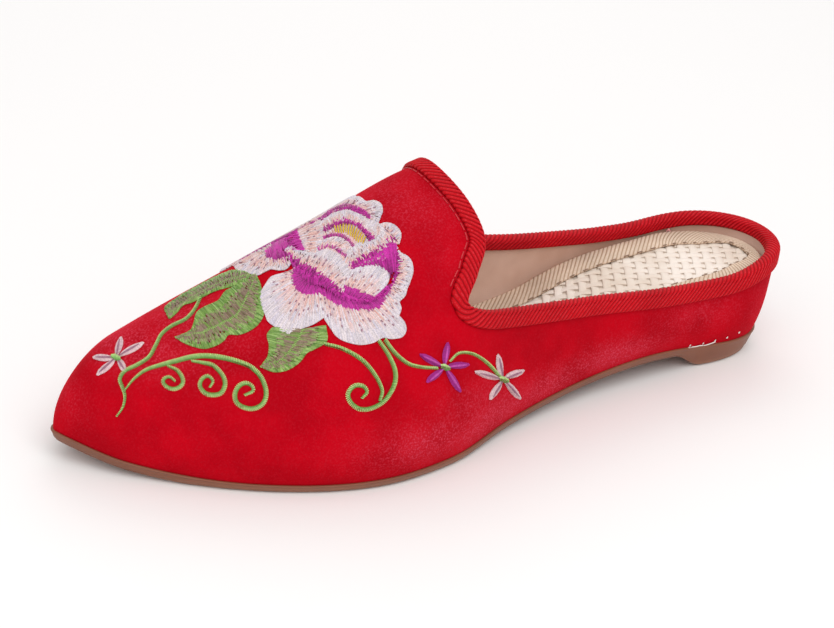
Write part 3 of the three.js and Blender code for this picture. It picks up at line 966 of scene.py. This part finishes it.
petals = [
    (0.05, pale,
     [(320, 223), (334, 210), (350, 204), (366, 210), (376, 220), (386, 232), (398, 248)],
     [(304, 256), (318, 256), (332, 262), (344, 272), (350, 280), (356, 284), (370, 272)]),
    (0.12, fringed,
     [(322, 219), (329, 213), (334, 208), (343, 202), (351, 199), (359, 197), (367, 202), (374, 201),
      (381, 204), (383, 211), (381, 217), (379, 222)],
     [(323, 221), (331, 215), (340, 211), (348, 209), (356, 211), (363, 214), (369, 219)]),
    (0.2, fringed,
     [(323, 221), (332, 215), (340, 212), (348, 211), (358, 214), (364, 218), (370, 223), (378, 231)],
     [(325, 230), (334, 226), (343, 223), (354, 223), (362, 228), (367, 234), (373, 239)]),
    (0.12, pale,
     [(379, 225), (386, 223), (394, 225), (400, 231), (401, 237), (399, 244)],
     [(376, 236), (383, 240), (389, 243), (395, 245)]),
    (0.15, broad,
     [(399, 302), (405, 296), (407, 289), (410, 282), (413, 272), (412, 263), (408, 257), (402, 254),
      (399, 251)],
     [(386, 290), (391, 283), (394, 276), (396, 268), (397, 260), (397, 253)]),
    (0.15, broad,
     [(325, 320), (331, 329), (337, 337), (346, 342), (360, 345), (373, 343), (383, 338), (392, 339),
      (402, 337), (406, 330), (404, 322), (399, 317), (401, 309), (399, 302)],
     [(319, 288), (334, 295), (343, 299), (355, 302), (367, 303), (376, 299), (382, 295), (387, 289)]),
    (0.22, broad,
     [(295, 270), (289, 274), (279, 276), (271, 278), (265, 286), (260, 295), (260, 305), (265, 315),
      (268, 322), (277, 329), (283, 336), (290, 337), (300, 330), (313, 325), (324, 318)],
     [(296, 267), (297, 271), (300, 276), (304, 281), (308, 284), (314, 286), (319, 288)]),
    (0.2, pale,
     [(234, 267), (239, 273), (248, 274), (257, 276), (264, 273), (271, 270), (279, 271), (286, 270),
      (291, 265)],
     [(258, 254), (264, 256), (270, 258), (277, 260), (284, 259), (288, 258)]),
    (0.15, pale,
     [(234, 265), (243, 258), (252, 252), (262, 247), (270, 243)],
     [(250, 264), (256, 260), (262, 257), (268, 254), (274, 251)]),
    (0.35, solid,
     [(266, 252), (272, 247), (280, 243), (287, 240)],
     [(268, 260), (275, 263), (283, 262), (291, 258)]),
    (0.25, pale,
     [(320, 219), (324, 226), (327, 232), (325, 240), (321, 247), (319, 252)],
     [(297, 232), (299, 238), (301, 243), (303, 248), (306, 252)]),
    (0.4, solid,
     [(298, 232), (300, 238), (302, 244), (305, 251)],
     [(287, 238), (287, 243), (288, 248), (290, 252)]),
    (0.25, solid,
     [(286, 256), (295, 261), (303, 266), (314, 273), (322, 280), (331, 286), (343, 293)],
     [(290, 262), (294, 268), (299, 275), (306, 283), (316, 287), (326, 290), (343, 300)]),
    (0.28, solid,
     [(343, 292), (353, 297), (362, 299), (370, 298), (377, 295), (386, 287)],
     [(343, 300), (355, 304), (367, 304), (376, 300), (383, 295), (389, 287)]),
    (0.28, solid,
     [(351, 269), (357, 264), (366, 259), (376, 254), (385, 247), (396, 241)],
     [(353, 271), (361, 268), (371, 267), (381, 268), (390, 274), (397, 266)]),
    (0.35, fringed,
     [(347, 256), (350, 250), (358, 244), (367, 243), (376, 239), (380, 232), (379, 225)],
     [(350, 268), (355, 264), (363, 260), (373, 255), (382, 248), (390, 243), (396, 240)]),
    (0.35, pale,
     [(325, 240), (334, 238), (340, 238), (347, 241), (352, 246), (349, 252), (346, 256)],
     [(319, 251), (327, 248), (334, 249), (340, 252), (346, 256)]),
    (0.25, pale,
     [(325, 231), (331, 229), (336, 227)],
     [(325, 239), (331, 237), (337, 235)]),
    (0.38, broad,
     [(350, 271), (355, 268), (363, 266), (372, 265), (381, 267), (388, 272), (389, 279), (386, 286),
      (380, 292), (375, 296)],
     [(343, 290), (347, 295), (353, 298), (360, 300), (367, 300), (373, 298)]),
    (0.45, fringed,
     [(286, 251), (291, 247), (298, 251), (307, 253), (316, 254), (323, 251), (331, 251), (339, 256),
      (344, 262), (348, 268), (350, 276), (347, 284), (345, 289)],
     [(287, 256), (295, 261), (303, 266), (314, 273), (322, 280), (331, 286), (338, 291), (343, 294)]),
]

# The heart's own threads, and dark lashes over the edges of the petals round it
golden_heart = [
    [(335, 226), (344, 225), (352, 226), (359, 231), (366, 238)],
    [(337, 234), (344, 234), (351, 237), (357, 242), (363, 245)],
]
lashes = [
    ([(324, 231), (333, 226), (343, 222), (354, 222), (363, 226), (369, 232), (375, 239)],
     [(326, 234), (334, 230), (343, 226), (353, 226), (360, 230), (365, 236), (369, 242)]),
    ([(324, 237), (333, 234), (342, 235), (349, 239), (355, 246)],
     [(325, 241), (333, 238), (341, 239), (347, 243), (352, 249)]),
    ([(318, 248), (326, 245), (336, 246), (343, 250), (348, 255)],
     [(320, 252), (328, 249), (335, 251), (340, 255), (345, 259)]),
    ([(323, 217), (331, 211), (340, 207), (348, 205), (357, 207), (364, 210), (371, 216)],
     [(324, 221), (332, 215), (340, 211), (348, 209), (356, 211), (363, 214), (369, 219)]),
]
lash_bands = [(0, 1, magentas, plums)]

# What the ridge hides is guessed: five scalloped petals on the inner side, as the mirrored camera sees them
far_petals = [
    ([(270, 311), (273, 322), (284, 329), (297, 328), (307, 319)],
     [(283, 297), (290, 293), (298, 288), (306, 283)]),
    ([(304, 321), (314, 328), (328, 326), (338, 316), (340, 303)],
     [(302, 284), (308, 278), (313, 271), (318, 265)]),
    ([(336, 308), (348, 309), (359, 299), (362, 285), (356, 273)],
     [(316, 267), (322, 259), (328, 251), (335, 243)]),
    ([(354, 278), (366, 271), (373, 258), (370, 244), (360, 233)],
     [(332, 248), (338, 242), (344, 237), (351, 232)]),
    ([(368, 251), (381, 244), (388, 231), (385, 219), (375, 213)],
     [(349, 236), (354, 231), (360, 226), (366, 222)]),
]
far_lift = 0.04 * mm
heart_lift = 0.55 * mm
lash_lift = 0.42 * mm
peony = Stitches()
for lift, bands, rim, root in petals:
    peony.fill(rim, root, bands, lift * mm)
    if bands is not solid:
        peony.ticks(rim, root, (lift + tick_lift) * mm)
for rim, root in far_petals:
    peony.fill(rim, root, broad, far_lift, side=-1)
peony.fill(*golden_heart, golden, heart_lift, gap=2.7, girth=2.5)
for rim, root in lashes:
    peony.fill(rim, root, lash_bands, lash_lift, gap=1.7)
peony.piece("embroidered_peony", viscose)

# Small flowers: a centre and five tips in the photograph's pixels, each petal folded along its middle
star_flowers = [
    ((117, 358), [(121, 338), (143, 343), (126, 371), (98, 375), (94, 358)], star_pink, star_mauve),
    ((444, 367), [(447, 343), (420, 355), (427, 382), (460, 391), (468, 364)], star_purple, star_violet_highlight),
    ((502, 379), [(497, 355), (475, 372), (490, 399), (520, 398), (523, 370)], star_pink, star_mauve),
]
petal_widths = (1.6, 5.4, 6.8, 6, 2)
petal_lift = 0.1 * mm
fold_widths = (0.5, 1.5, 1.7, 0.5)
fold_lift = 0.6 * mm
stars = Stitches()
# On the purple flower the fold is painted lighter violet as painted highlight. The centres run from pale to
# dark green across each stitch, as painted highlight and painted shade.
for centre, tips, petal_colour, fold_tone_and_highlight in star_flowers:
    for tip in tips:
        root, middle, fold = [mix(np.array(centre), np.array(tip), t) for t in (0.12, 0.55, 0.85)]
        along, inward = [root, middle, tip], [root, middle, fold]
        stars.satin(along, petal_widths, petal_lift, petal_colour, petal_colour, 0.6, 1.2, 1.3, 1)
        stars.satin(inward, fold_widths, fold_lift, fold_tone_and_highlight, fold_tone_and_highlight, 0.6, 1.2, 1.2, 0.8)
    x, y = centre
    stars.satin([(x - 4, y - 1), (x, y), (x + 4, y + 1)], (3, 6, 3), fold_lift, stem_green_highlight, stem_green_shade, gap=1.2)
stars.piece("embroidered_small_flowers", viscose)

# Glue: white cement, pressed out where the velvet meets the heel and left to dry there, as a thin line and
# a few flecks. Their places are in the photograph's pixels.
glue_line = [(688, 347), (695, 347), (703, 345), (710, 343), (715, 341)]
glue_flecks = [(690, 345), (703, 343), (715, 340), (727, 337), (739, 332)]
glue_white = 0xF2EDE6
glue_lump = 0.8 * mm
glue_line_lift = 0.3 * mm
glue_fleck_lift = 0.1 * mm
dried_glue, tree, place = new_material("dried_white_glue")
lump = add_node(tree, "ShaderNodeTexNoise", {"Scale": 1 / glue_lump, "Detail": 2}, {"Vector": place})
tone = add_node(tree, "ShaderNodeMapRange", {1: 0.3, 2: 0.7, 3: 0.8, 4: 1.0}, {0: lump})
whiteness = {0: linear(glue_white)[:3]}
white = add_node(tree, "ShaderNodeVectorMath", whiteness, {"Scale": tone}, operation="SCALE")
surface = add_node(
    tree, "ShaderNodeBsdfPrincipled", {"Roughness": 0.4, "Specular IOR Level": 0.5}, {"Base Color": white}
)
add_node(tree, "ShaderNodeOutputMaterial", links={0: surface})
glue = Stitches()
for start, end in zip(glue_line, glue_line[1:]):
    glue.add(start, end, glue_line_lift, glue_white, glue_white, bow=0.1, girth=1.5)
for x, y in glue_flecks:
    size = draw.uniform(0.8, 1.4)
    start, end = (x - 0.7, y + 0.9), (x + 0.5, y - 0.6)
    glue.add(start, end, glue_fleck_lift, glue_white, glue_white, bow=0.4, girth=size)
glue.piece("dried_glue_flecks", dried_glue)


def lay_threads(name, strands, colour, width, height, sides, slot):
    """A piece of short plain threads, each along one strand's points."""
    count, length = np.shape(strands)[:2]
    edges = [(k * length + i, k * length + i + 1) for k in range(count) for i in range(length - 1)]
    colours = np.repeat([linear(colour)], count * length, 0)
    threads = add_lines(name, strands, edges, thread_colour=colours)
    sweep(threads, width, height, sides, viscose)
    dress(threads, viscose, slot)


# Flap stitching: a row of lockstitch in red sewing thread, worked by machine through the velvet round the
# flap, close beside the binding. The thread's colour is painted lighter than the velvet, partly as painted
# highlight.
flap_row = 4.9 * mm
flap_stitch = 2.4 * mm
flap_stitch_gap = 0.7 * mm
flap_stitch_lift = 0.12 * mm
flap_thread_width = 0.5 * mm
flap_thread_height = 0.35 * mm
flap_from = 0.66
flap_steps = 600
flap_thread_red_highlight = 0xC42832
along_stitch = np.array([0, 0.5, 1])
flap_turns = np.linspace(flap_from, 2 - flap_from, flap_steps)
row_turns, row_shares, _ = down_from_collar(flap_turns, flap_row)
row_points = off_skin(row_turns, row_shares, flap_stitch_lift)
row_lengths = way_along(row_points)
row_starts = np.arange(0, row_lengths[-1] - flap_stitch, flap_stitch + flap_stitch_gap)
row_places = row_starts[:, None] + along_stitch * flap_stitch
flap_strands = np.stack([np.interp(row_places, row_lengths, row_points[:, i]) for i in range(3)], -1)
flap_size = (flap_thread_width, flap_thread_height)
lay_threads("flap_lockstitch", flap_strands, flap_thread_red_highlight, *flap_size, 6, "velvet")


# Collar binding: a red twill tape sewn on face down below the collar, folded over the edge and down inside.
# Its diagonal ribs run on round the fold, fan out at the notch, and end in a sunk seam on the velvet.
binding_thickness = 1.1 * mm
binding_outside = 4.3 * mm
binding_inside = 3.4 * mm
binding_seam = 0.15 * mm
seam_round = 0.9 * mm
inner_edge_round = 0.8 * mm
rib_pitch = 1.7 * mm
rib_depth = 0.3 * mm
rib_lean = 0.95
rib_fullness = 0.6
points_per_rib = 10
fold_rows = 12
# The groove colour is painted shade and the crest colour is painted highlight on the ribs
twill_red = 0xBE0414
twill_groove_shade = 0x8C0410
twill_crest_highlight = 0xD8404A
twill_fibre = 0.5 * mm
twill_cloud = 12.5 * mm

collar_turns = np.linspace(0, 2, 3001)
collar_lengths = way_along(skin(collar_turns, 1))
band_far = clearance + binding_thickness
fold_width = wall / 2 + band_far
fold_length = math.pi * (fold_width + band_far) / 2
band_width = binding_outside + fold_length + binding_inside


def turn_along(distance, lengths, turns):
    """The turn at a distance along a closed line, going round as often as needed."""
    laps = np.floor(distance / lengths[-1])
    return np.interp(distance - laps * lengths[-1], lengths, turns) + 2 * laps


def band_points(along, across, offset):
    """Points on the binding. across goes from the outer seam over the fold to the inner edge."""
    turn = turn_along(along, collar_lengths, collar_turns)
    on_outside = across < binding_outside
    on_inside = across > binding_outside + fold_length
    depth = np.where(on_outside, binding_outside - across, 0)
    depth = np.where(on_inside, across - binding_outside - fold_length, depth)
    t, r, down = down_from_collar(turn, depth)
    start, out = skin(t, r), directions(t, r)[2]
    leg = np.where(on_inside, -wall - offset, offset)
    angle = np.clip((across - binding_outside) / fold_length, 0, 1) * math.pi
    fold = start - out * wall / 2 + out * (np.cos(angle) * (wall / 2 + offset))[..., None]
    fold = fold - down * (np.sin(angle) * offset)[..., None]
    return np.where((on_outside | on_inside)[..., None], start + out * leg[..., None], fold)


rib_count = round(collar_lengths[-1] / rib_pitch)
band_columns = rib_count * points_per_rib
band_along = np.arange(band_columns) / band_columns * collar_lengths[-1]

# Places across the tape, closest where it bends: the outer seam, the outside, the fold and the inside
across_rows = np.concatenate((
    np.linspace(0, 0.7 * mm, 4),
    np.linspace(1.3 * mm, binding_outside - 0.01 * mm, 7),
    binding_outside + np.linspace(0, fold_length, fold_rows),
    binding_outside + fold_length + np.linspace(0.4 * mm, binding_inside, 5),
))
along_grid, across_grid = np.meshgrid(band_along, across_rows, indexing="ij")
band_mask = round_off(across_grid, seam_round) * round_off(band_width - across_grid, inner_edge_round)
band_offset = binding_seam + (band_far - binding_seam) * band_mask
band_face = band_points(along_grid - rib_lean * across_grid, across_grid, band_offset)

# The tape's back needs only a few of them, from the inside round to the seam
back_rows = across_rows[[-2, -8, -14, 8, 2]]
back_along, back_across = np.meshgrid(band_along, back_rows, indexing="ij")
band_back = band_points(back_along - rib_lean * back_across, back_across, 0 * back_across + clearance * 0.4)
band_rings = np.concatenate((band_face, band_back), 1)
band_mask = np.concatenate((band_mask, 0 * back_across), 1)


def rib_tree():
    """Geometry nodes that press ribs into a tape: each point sinks by its place between two ribs."""
    tree, given = new_tree("twill_ribs", {"Rib depth": "Float"})
    phase = add_node(tree, "GeometryNodeInputNamedAttribute", {"Name": "rib_phase"}, data_type="FLOAT")
    mask = add_node(tree, "GeometryNodeInputNamedAttribute", {"Name": "rib_mask"}, data_type="FLOAT")
    angle = add_node(tree, "ShaderNodeMath", {1: math.pi}, {0: phase}, operation="MULTIPLY")
    sine = add_node(tree, "ShaderNodeMath", links={0: angle}, operation="SINE")
    size = add_node(tree, "ShaderNodeMath", links={0: sine}, operation="ABSOLUTE")
    crest = add_node(tree, "ShaderNodeMath", {1: rib_fullness}, {0: size}, operation="POWER")
    sink = add_node(tree, "ShaderNodeMath", {1: 1.0}, {0: crest}, operation="SUBTRACT")
    deep = add_node(tree, "ShaderNodeMath", links={0: sink, 1: given["Rib depth"]}, operation="MULTIPLY")
    move = add_node(tree, "ShaderNodeMath", links={0: deep, 1: mask}, operation="MULTIPLY")
    normal = add_node(tree, "GeometryNodeInputNormal")
    offset = add_node(tree, "ShaderNodeVectorMath", links={0: normal, "Scale": move}, operation="SCALE")
    kept = add_node(
        tree,
        "GeometryNodeStoreNamedAttribute",
        {"Name": "rib"},
        {"Geometry": given["Geometry"], "Value": crest},
        data_type="FLOAT",
        domain="POINT",
    )
    pressed = add_node(tree, "GeometryNodeSetPosition", links={"Geometry": kept, "Offset": offset})
    return end_tree(tree, pressed, given["Material"])


def twill_material(name, groove_shade_colour, body_colour, crest_highlight_colour, roughness):
    """Ribbed twill tape: a rib is a bundle of shiny twisted threads. Its colour is painted dark in the groove
    as painted shade and pale on the crest as painted highlight.
    """
    material, tree, place = new_material(name)
    rib = add_node(tree, "ShaderNodeAttribute", attribute_name="rib").outputs["Fac"]
    fibre, bump = grained(tree, place, twill_fibre, 0.35, 0.1 * mm)
    cloud = add_node(tree, "ShaderNodeTexNoise", {"Scale": 1 / twill_cloud, "Detail": 2}, {"Vector": place})
    low = add_node(tree, "ShaderNodeMapRange", {1: 0.15, 2: 0.75}, {0: rib})
    colours = {6: linear(groove_shade_colour), 7: linear(body_colour)}
    body = add_node(tree, "ShaderNodeMix", colours, {0: low}, data_type="RGBA")
    high = add_node(tree, "ShaderNodeMapRange", {1: 0.86, 2: 1.0}, {0: rib})
    strands = add_node(tree, "ShaderNodeMapRange", {1: 0.4, 2: 0.65}, {0: fibre})
    crest_highlight = add_node(tree, "ShaderNodeMath", links={0: high, 1: strands}, operation="MULTIPLY")
    part = add_node(tree, "ShaderNodeMath", {1: 0.55}, {0: crest_highlight}, operation="MULTIPLY")
    layers = {0: part, 6: body.outputs[2]}
    thread = add_node(tree, "ShaderNodeMix", {7: linear(crest_highlight_colour)}, layers, data_type="RGBA")
    varied = add_node(tree, "ShaderNodeMapRange", {1: 0.3, 2: 0.7, 3: 0.88, 4: 1.06}, {0: cloud})
    scaling = {0: thread.outputs[2], "Scale": varied}
    toned = add_node(tree, "ShaderNodeVectorMath", links=scaling, operation="SCALE")
    surface = add_node(
        tree,
        "ShaderNodeBsdfPrincipled",
        {"Roughness": roughness, "Specular IOR Level": 0.1},
        {"Base Color": toned, "Normal": bump},
    )
    add_node(tree, "ShaderNodeOutputMaterial", links={0: surface})
    return material


def lay_tape(name, rings, mask, material, slot, node):
    """A tape from its rings of points. Its ribs are pressed as deep as the mask lets them."""
    phase = np.repeat(np.arange(len(rings)) / points_per_rib, rings.shape[1])
    tape = add_mesh(name, rings, rib_phase=phase, rib_mask=mask.ravel())
    grow(tape, twill_ribs, rib_depth=rib_depth, material=material)
    dress(tape, material, slot, node)


twill_ribs = rib_tree()
red_twill = twill_material("red_twill", twill_groove_shade, twill_red, twill_crest_highlight, 0.6)
lay_tape("collar_twill_binding", band_rings, band_mask, red_twill, "red_twill", "collar_binding")

# Loose tuft: a few frayed ends of pink sewing thread, left where the binding's far side was last stitched
# down. Each strand droops a little from its root.
tuft_turn = 1.76
tuft_strands = 7
tuft_length = 1.5 * mm
tuft_droop = 0.2 * mm
tuft_thread = 0.35 * mm
tuft_pink = 0xE8A0A0
tuft_along = np.interp(tuft_turn, collar_turns, collar_lengths)
tuft_root = band_points(np.array([tuft_along]), np.array([band_width - 0.5 * mm]), np.array([band_far]))[0]
strand_steps = np.arange(3)[:, None]
strands = []
for _ in range(tuft_strands):
    spread = np.array([draw.uniform(-1, 1), draw.uniform(0.2, 0.7), draw.uniform(-1, 0.4)])
    droop = tuft_droop * strand_steps**2 * (0, 0, 1)
    strands.append(tuft_root + spread * tuft_length * strand_steps / 2 - droop)
lay_threads("loose_thread_tuft", strands, tuft_pink, tuft_thread, tuft_thread, 5, "red_twill")


# Footbed: a thick shaped insole, high under the heel, covered in open basket weave of flat cream cord.
# Its cover is cut on the skew, so that the cords run at an angle to the shoe.
footbed_heel = 22.9 * mm
footbed_fore = 5.1 * mm
# A share of the length from the heel back, and the share of the heel's height that the footbed has there
footbed = np.array([
    (0, 1),
    (0.12, 0.8),
    (0.18, 0.68),
    (0.27, 0.45),
    (0.34, 0.22),
    (0.41, 0.08),
    (0.5, 0),
    (1, 0),
])
bed_round = 1.2 * mm
bed_depth = -wall - clearance
bed_bottom = wall + 2 * clearance
bed_stations = 200
bed_steps = 12
felt_sink = 0.6 * mm
felt_margin = 1 * mm
felt_mottle = 1.11 * mm
base_taupe = 0xCCBBAA
base_cream = 0xE8DACC


def bed_rise(u):
    return mix(footbed_fore, footbed_heel, through(footbed, 1, u / last_length))


def footbed_column(turn):
    """Points up the footbed's side at each turn, over its rounded edge and down to the felt beside it."""
    def row(lift, inset=0):
        return level_point(turn, lift, bed_depth, inset)

    rows = [
        row(flat(bed_bottom)),
        row(lambda u: mix(bed_bottom, bed_rise(u) - bed_round, 0.5)),
        row(lambda u: bed_rise(u) - bed_round),
    ]
    for angle in np.linspace(0.3, math.pi / 2, 5):
        drop = bed_round * (1 - math.sin(angle))
        rows.append(row(lambda u: bed_rise(u) - drop, -bed_round * (1 - math.cos(angle))))
    rows.append(row(lambda u: bed_rise(u) - felt_sink, -bed_round - felt_margin))
    return np.stack(rows, 1)


bed_turns = np.linspace(0, 1, bed_stations + 1)
left_column, right_column = footbed_column(bed_turns), footbed_column(2 - bed_turns)
bed_shares = np.linspace(0, 1, bed_steps + 2)[1:-1]
bed_middle = np.stack([mix(left_column[:, -1], right_column[:, -1], t) for t in bed_shares], 1)
bed_rings = np.concatenate((left_column, bed_middle, right_column[:, ::-1]), 1)
footbed_body = add_mesh("footbed_body", bed_rings, loop_columns=False)

# Felted backing seen through the open weave: matt grey-brown, mottled
felt, tree, place = new_material("footbed_felt")
body, mottle = clouded(tree, place, base_taupe, base_cream, felt_mottle)
bump = add_node(tree, "ShaderNodeBump", {"Strength": 0.5, "Distance": 0.2 * mm}, {"Height": mottle})
surface = add_node(
    tree,
    "ShaderNodeBsdfPrincipled",
    {"Roughness": 0.95, "Specular IOR Level": 0.15},
    {"Base Color": body, "Normal": bump},
)
add_node(tree, "ShaderNodeOutputMaterial", links={0: surface})
dress(footbed_body, felt, "weave", "insole")


# Footbed binding: a flat beige twill tape over the edge of the footbed, with a plain selvedge inside.
tape_width = 9 * mm
tape_inset = 0.4 * mm
tape_toe_share = 0.45
tape_rib_pitch = 1.8 * mm
tape_lean = 0.95
beige_twill_body = 0xD6BEA8
# The groove colour is painted shade and the crest colour is painted highlight on the ribs
beige_twill_groove_shade = 0xA5866C
beige_twill_crest_highlight = 0xEFE0D0

edge_turns = np.linspace(0, 2, 2001)
edge_lengths = way_along(level_point(edge_turns, bed_rise, bed_depth, 0))
tape_columns = round(edge_lengths[-1] / tape_rib_pitch) * points_per_rib

# Across the tape: the share of its width, its height in millimetres and its share of the ribs
tape_rows = [
    (0, 0.25, 0),
    (0, 0.8, 0),
    (0.06, 1.15, 0.5),
    (0.14, 1.3, 1),
    (0.28, 1.32, 1),
    (0.42, 1.32, 1),
    (0.56, 1.3, 1),
    (0.68, 1.25, 0.6),
    (0.74, 1.02, 0),
    (0.8, 1.08, 0),
    (0.9, 1.06, 0),
    (0.97, 0.95, 0),
    (1, 0.6, 0),
    (1, 0.25, 0),
]


def tape_points(along, across, lift):
    """Points on the footbed tape. across goes from its outer edge, 0, to its inner edge, 1."""
    turn = turn_along(along, edge_lengths, edge_turns)
    middle = share("centre", length_share(turn) * last_length) * ball_width
    half_width = np.abs(level_point(turn, bed_rise, 0, 0)[..., 1] - middle)
    width = np.minimum(tape_width, tape_toe_share * np.maximum(half_width, toe_round / 2))
    inset = -bed_round - tape_inset - width * across
    return level_point(turn, lambda u: bed_rise(u) + lift, bed_depth, inset)


tape_along = np.arange(tape_columns) / tape_columns * edge_lengths[-1]
tape_rings = []
for across, lift, _ in tape_rows:
    tape_rings.append(tape_points(tape_along - tape_lean * across * tape_width, across, lift * mm))
tape_rings = np.stack(tape_rings, 1)
tape_mask = np.tile([press for _, _, press in tape_rows], tape_columns)
beige_twill = twill_material("beige_twill", beige_twill_groove_shade, beige_twill_body, beige_twill_crest_highlight, 0.75)
lay_tape("footbed_twill_binding", tape_rings, tape_mask, beige_twill, "beige_twill", "insole_binding")

# Lockstitch: brown sewing thread that holds the tape down along its inner edge. It shows as a dark dash
# every few millimetres.
edge_stitch = 1.9 * mm
edge_stitch_pitch = 5.6 * mm
edge_stitch_height = 0.95 * mm
edge_thread_width = 0.65 * mm
edge_thread_height = 0.3 * mm
edge_stitch_brown = 0x8C705C
dash_starts = np.arange(0, edge_lengths[-1] - edge_stitch, edge_stitch_pitch)
dashes = tape_points(dash_starts[:, None] + along_stitch * edge_stitch, 1, edge_stitch_height)
edge_size = (edge_thread_width, edge_thread_height)
lay_threads("footbed_edge_stitches", dashes, edge_stitch_brown, *edge_size, 6, "beige_twill")


# Basket cover: flat cream cords that pass over and under each other, four millimetres apart both ways.
# The cover is glued down on the felt, and its cut ends lie hidden under the tape.
cord_pitch = 3.9 * mm
cord_width = 2.95 * mm
cord_height = 0.75 * mm
cord_wave = 0.2 * mm
weave_sink = 1.0 * mm
weft_girth = 0.68
cord_skew = math.radians(-30)
cord_steps = 6
cord_reach = 150 * mm
cover_tuck = 0.85
cord_cream = 0xF0E4D9
cord_shadow = 0xDCCBBA
cord_fibre = 0.667 * mm
cord_cloud = 16.67 * mm

edge_places = np.linspace(0, edge_lengths[-1], 720, endpoint=False)
cover_edge = tape_points(edge_places, cover_tuck, 0)


def inside_cover(x, y):
    """Whether places lie inside the cover's edge, by counting how often a level line to them crosses it."""
    x0, y0 = cover_edge[:, 0], cover_edge[:, 1]
    x1, y1 = np.roll(x0, -1), np.roll(y0, -1)
    x, y = x[..., None], y[..., None]
    crosses = (y0 > y) != (y1 > y)
    with np.errstate(divide="ignore", invalid="ignore"):
        reach = x0 + (y - y0) * (x1 - x0) / (y1 - y0)
    return (np.sum(crosses & (x < reach), -1) % 2).astype(bool)


def weave_cords(direction, phase):
    """Polylines of one set of cords, each a wave over and under the other set."""
    points, edges = [], []
    forward = np.array([math.cos(direction), math.sin(direction)])
    sideways = np.array([-forward[1], forward[0]])
    centre = np.array([last_length / 2, 0])
    count = int(cord_reach / cord_pitch)
    run = np.arange(-cord_reach, cord_reach, cord_pitch / cord_steps)
    for line in range(-count, count + 1):
        x, y = (centre + sideways * line * cord_pitch + run[:, None] * forward).T
        wave = np.cos(math.pi * (run / cord_pitch + line + phase))
        u = np.clip(x, 0, last_length)
        height = feather_at(u) + bed_rise(u) - weave_sink + cord_height / 2 + cord_wave * (1 + wave)
        last = None
        for k in np.flatnonzero(inside_cover(x, y)):
            points.append((x[k], y[k], height[k]))
            if last is not None and k == last + 1:
                edges.append((len(points) - 2, len(points) - 1))
            last = k
    return points, edges


# Glazed paper cord, laid flat: pale cream, browner in soft patches, with fine lengthwise fibres
cord, tree, place = new_material("cream_paper_cord")
body, _ = clouded(tree, place, cord_shadow, cord_cream, cord_cloud, 0.3, 0.65)
_, bump = grained(tree, place, cord_fibre, 0.4, 0.12 * mm)
surface = add_node(
    tree,
    "ShaderNodeBsdfPrincipled",
    {"Roughness": 0.65, "Specular IOR Level": 0.35, "Sheen Weight": 0.1},
    {"Base Color": body, "Normal": bump},
)
add_node(tree, "ShaderNodeOutputMaterial", links={0: surface})

warp_points, warp_edges = weave_cords(cord_skew, 0)
weft_points, weft_edges = weave_cords(cord_skew + math.pi / 2, 1)
weft_edges = [(a + len(warp_points), b + len(warp_points)) for a, b in weft_edges]
girths = np.concatenate((np.ones(len(warp_points)), np.full(len(weft_points), weft_girth)))
basket = add_lines("basket_weave_cover", warp_points + weft_points, warp_edges + weft_edges, girth=girths)
grow(basket, swept_threads, thread_width=cord_width, thread_height=cord_height, sides=10, material=cord)
dress(basket, cord, "weave", "insole")


# Studio: a plain pale floor, just under the shoe, and the soft light of a few large lamps.
# The background is an even white, like the photograph's.
floor_size = 6.0
floor_drop = 0.3 * mm
floor_white = 0xF4F2F1
world_white = 0xFFFFFF
world_strength = 0.72
floor_mesh = bpy.data.meshes.new("studio_floor")
corners = [(floor_size * x, floor_size * y, 0) for x, y in ((-1, -1), (1, -1), (1, 1), (-1, 1))]
floor_mesh.from_pydata(corners, [], [(0, 1, 2, 3)])
floor = add_object("studio_floor", floor_mesh)
floor.location.z = -floor_drop
paper, tree, _ = new_material("matt_paper")
matt = {"Base Color": linear(floor_white), "Roughness": 0.9, "Specular IOR Level": 0.1}
surface = add_node(tree, "ShaderNodeBsdfPrincipled", matt)
add_node(tree, "ShaderNodeOutputMaterial", links={0: surface})
floor_mesh.materials.append(paper)

for name, place, size, power in [
    ("key_light", (0.1, 0.7, 1.0), 0.9, 6.2),
    ("fill_light", (0.9, 0.5, 0.6), 0.8, 1.8),
    ("back_light", (-0.4, -0.8, 0.8), 0.8, 2.4),
]:
    light_data = bpy.data.lights.new(name, "AREA")
    light_data.size = size
    light_data.energy = power
    light = add_object(name, light_data)
    light.location = place
    light.rotation_euler = (-Vector(place)).to_track_quat("-Z", "Y").to_euler()

world = bpy.data.worlds.new("studio")
bpy.context.scene.world = world
world.use_nodes = True
background = world.node_tree.nodes["Background"]
background.inputs["Color"].default_value = linear(world_white)
background.inputs["Strength"].default_value = world_strength
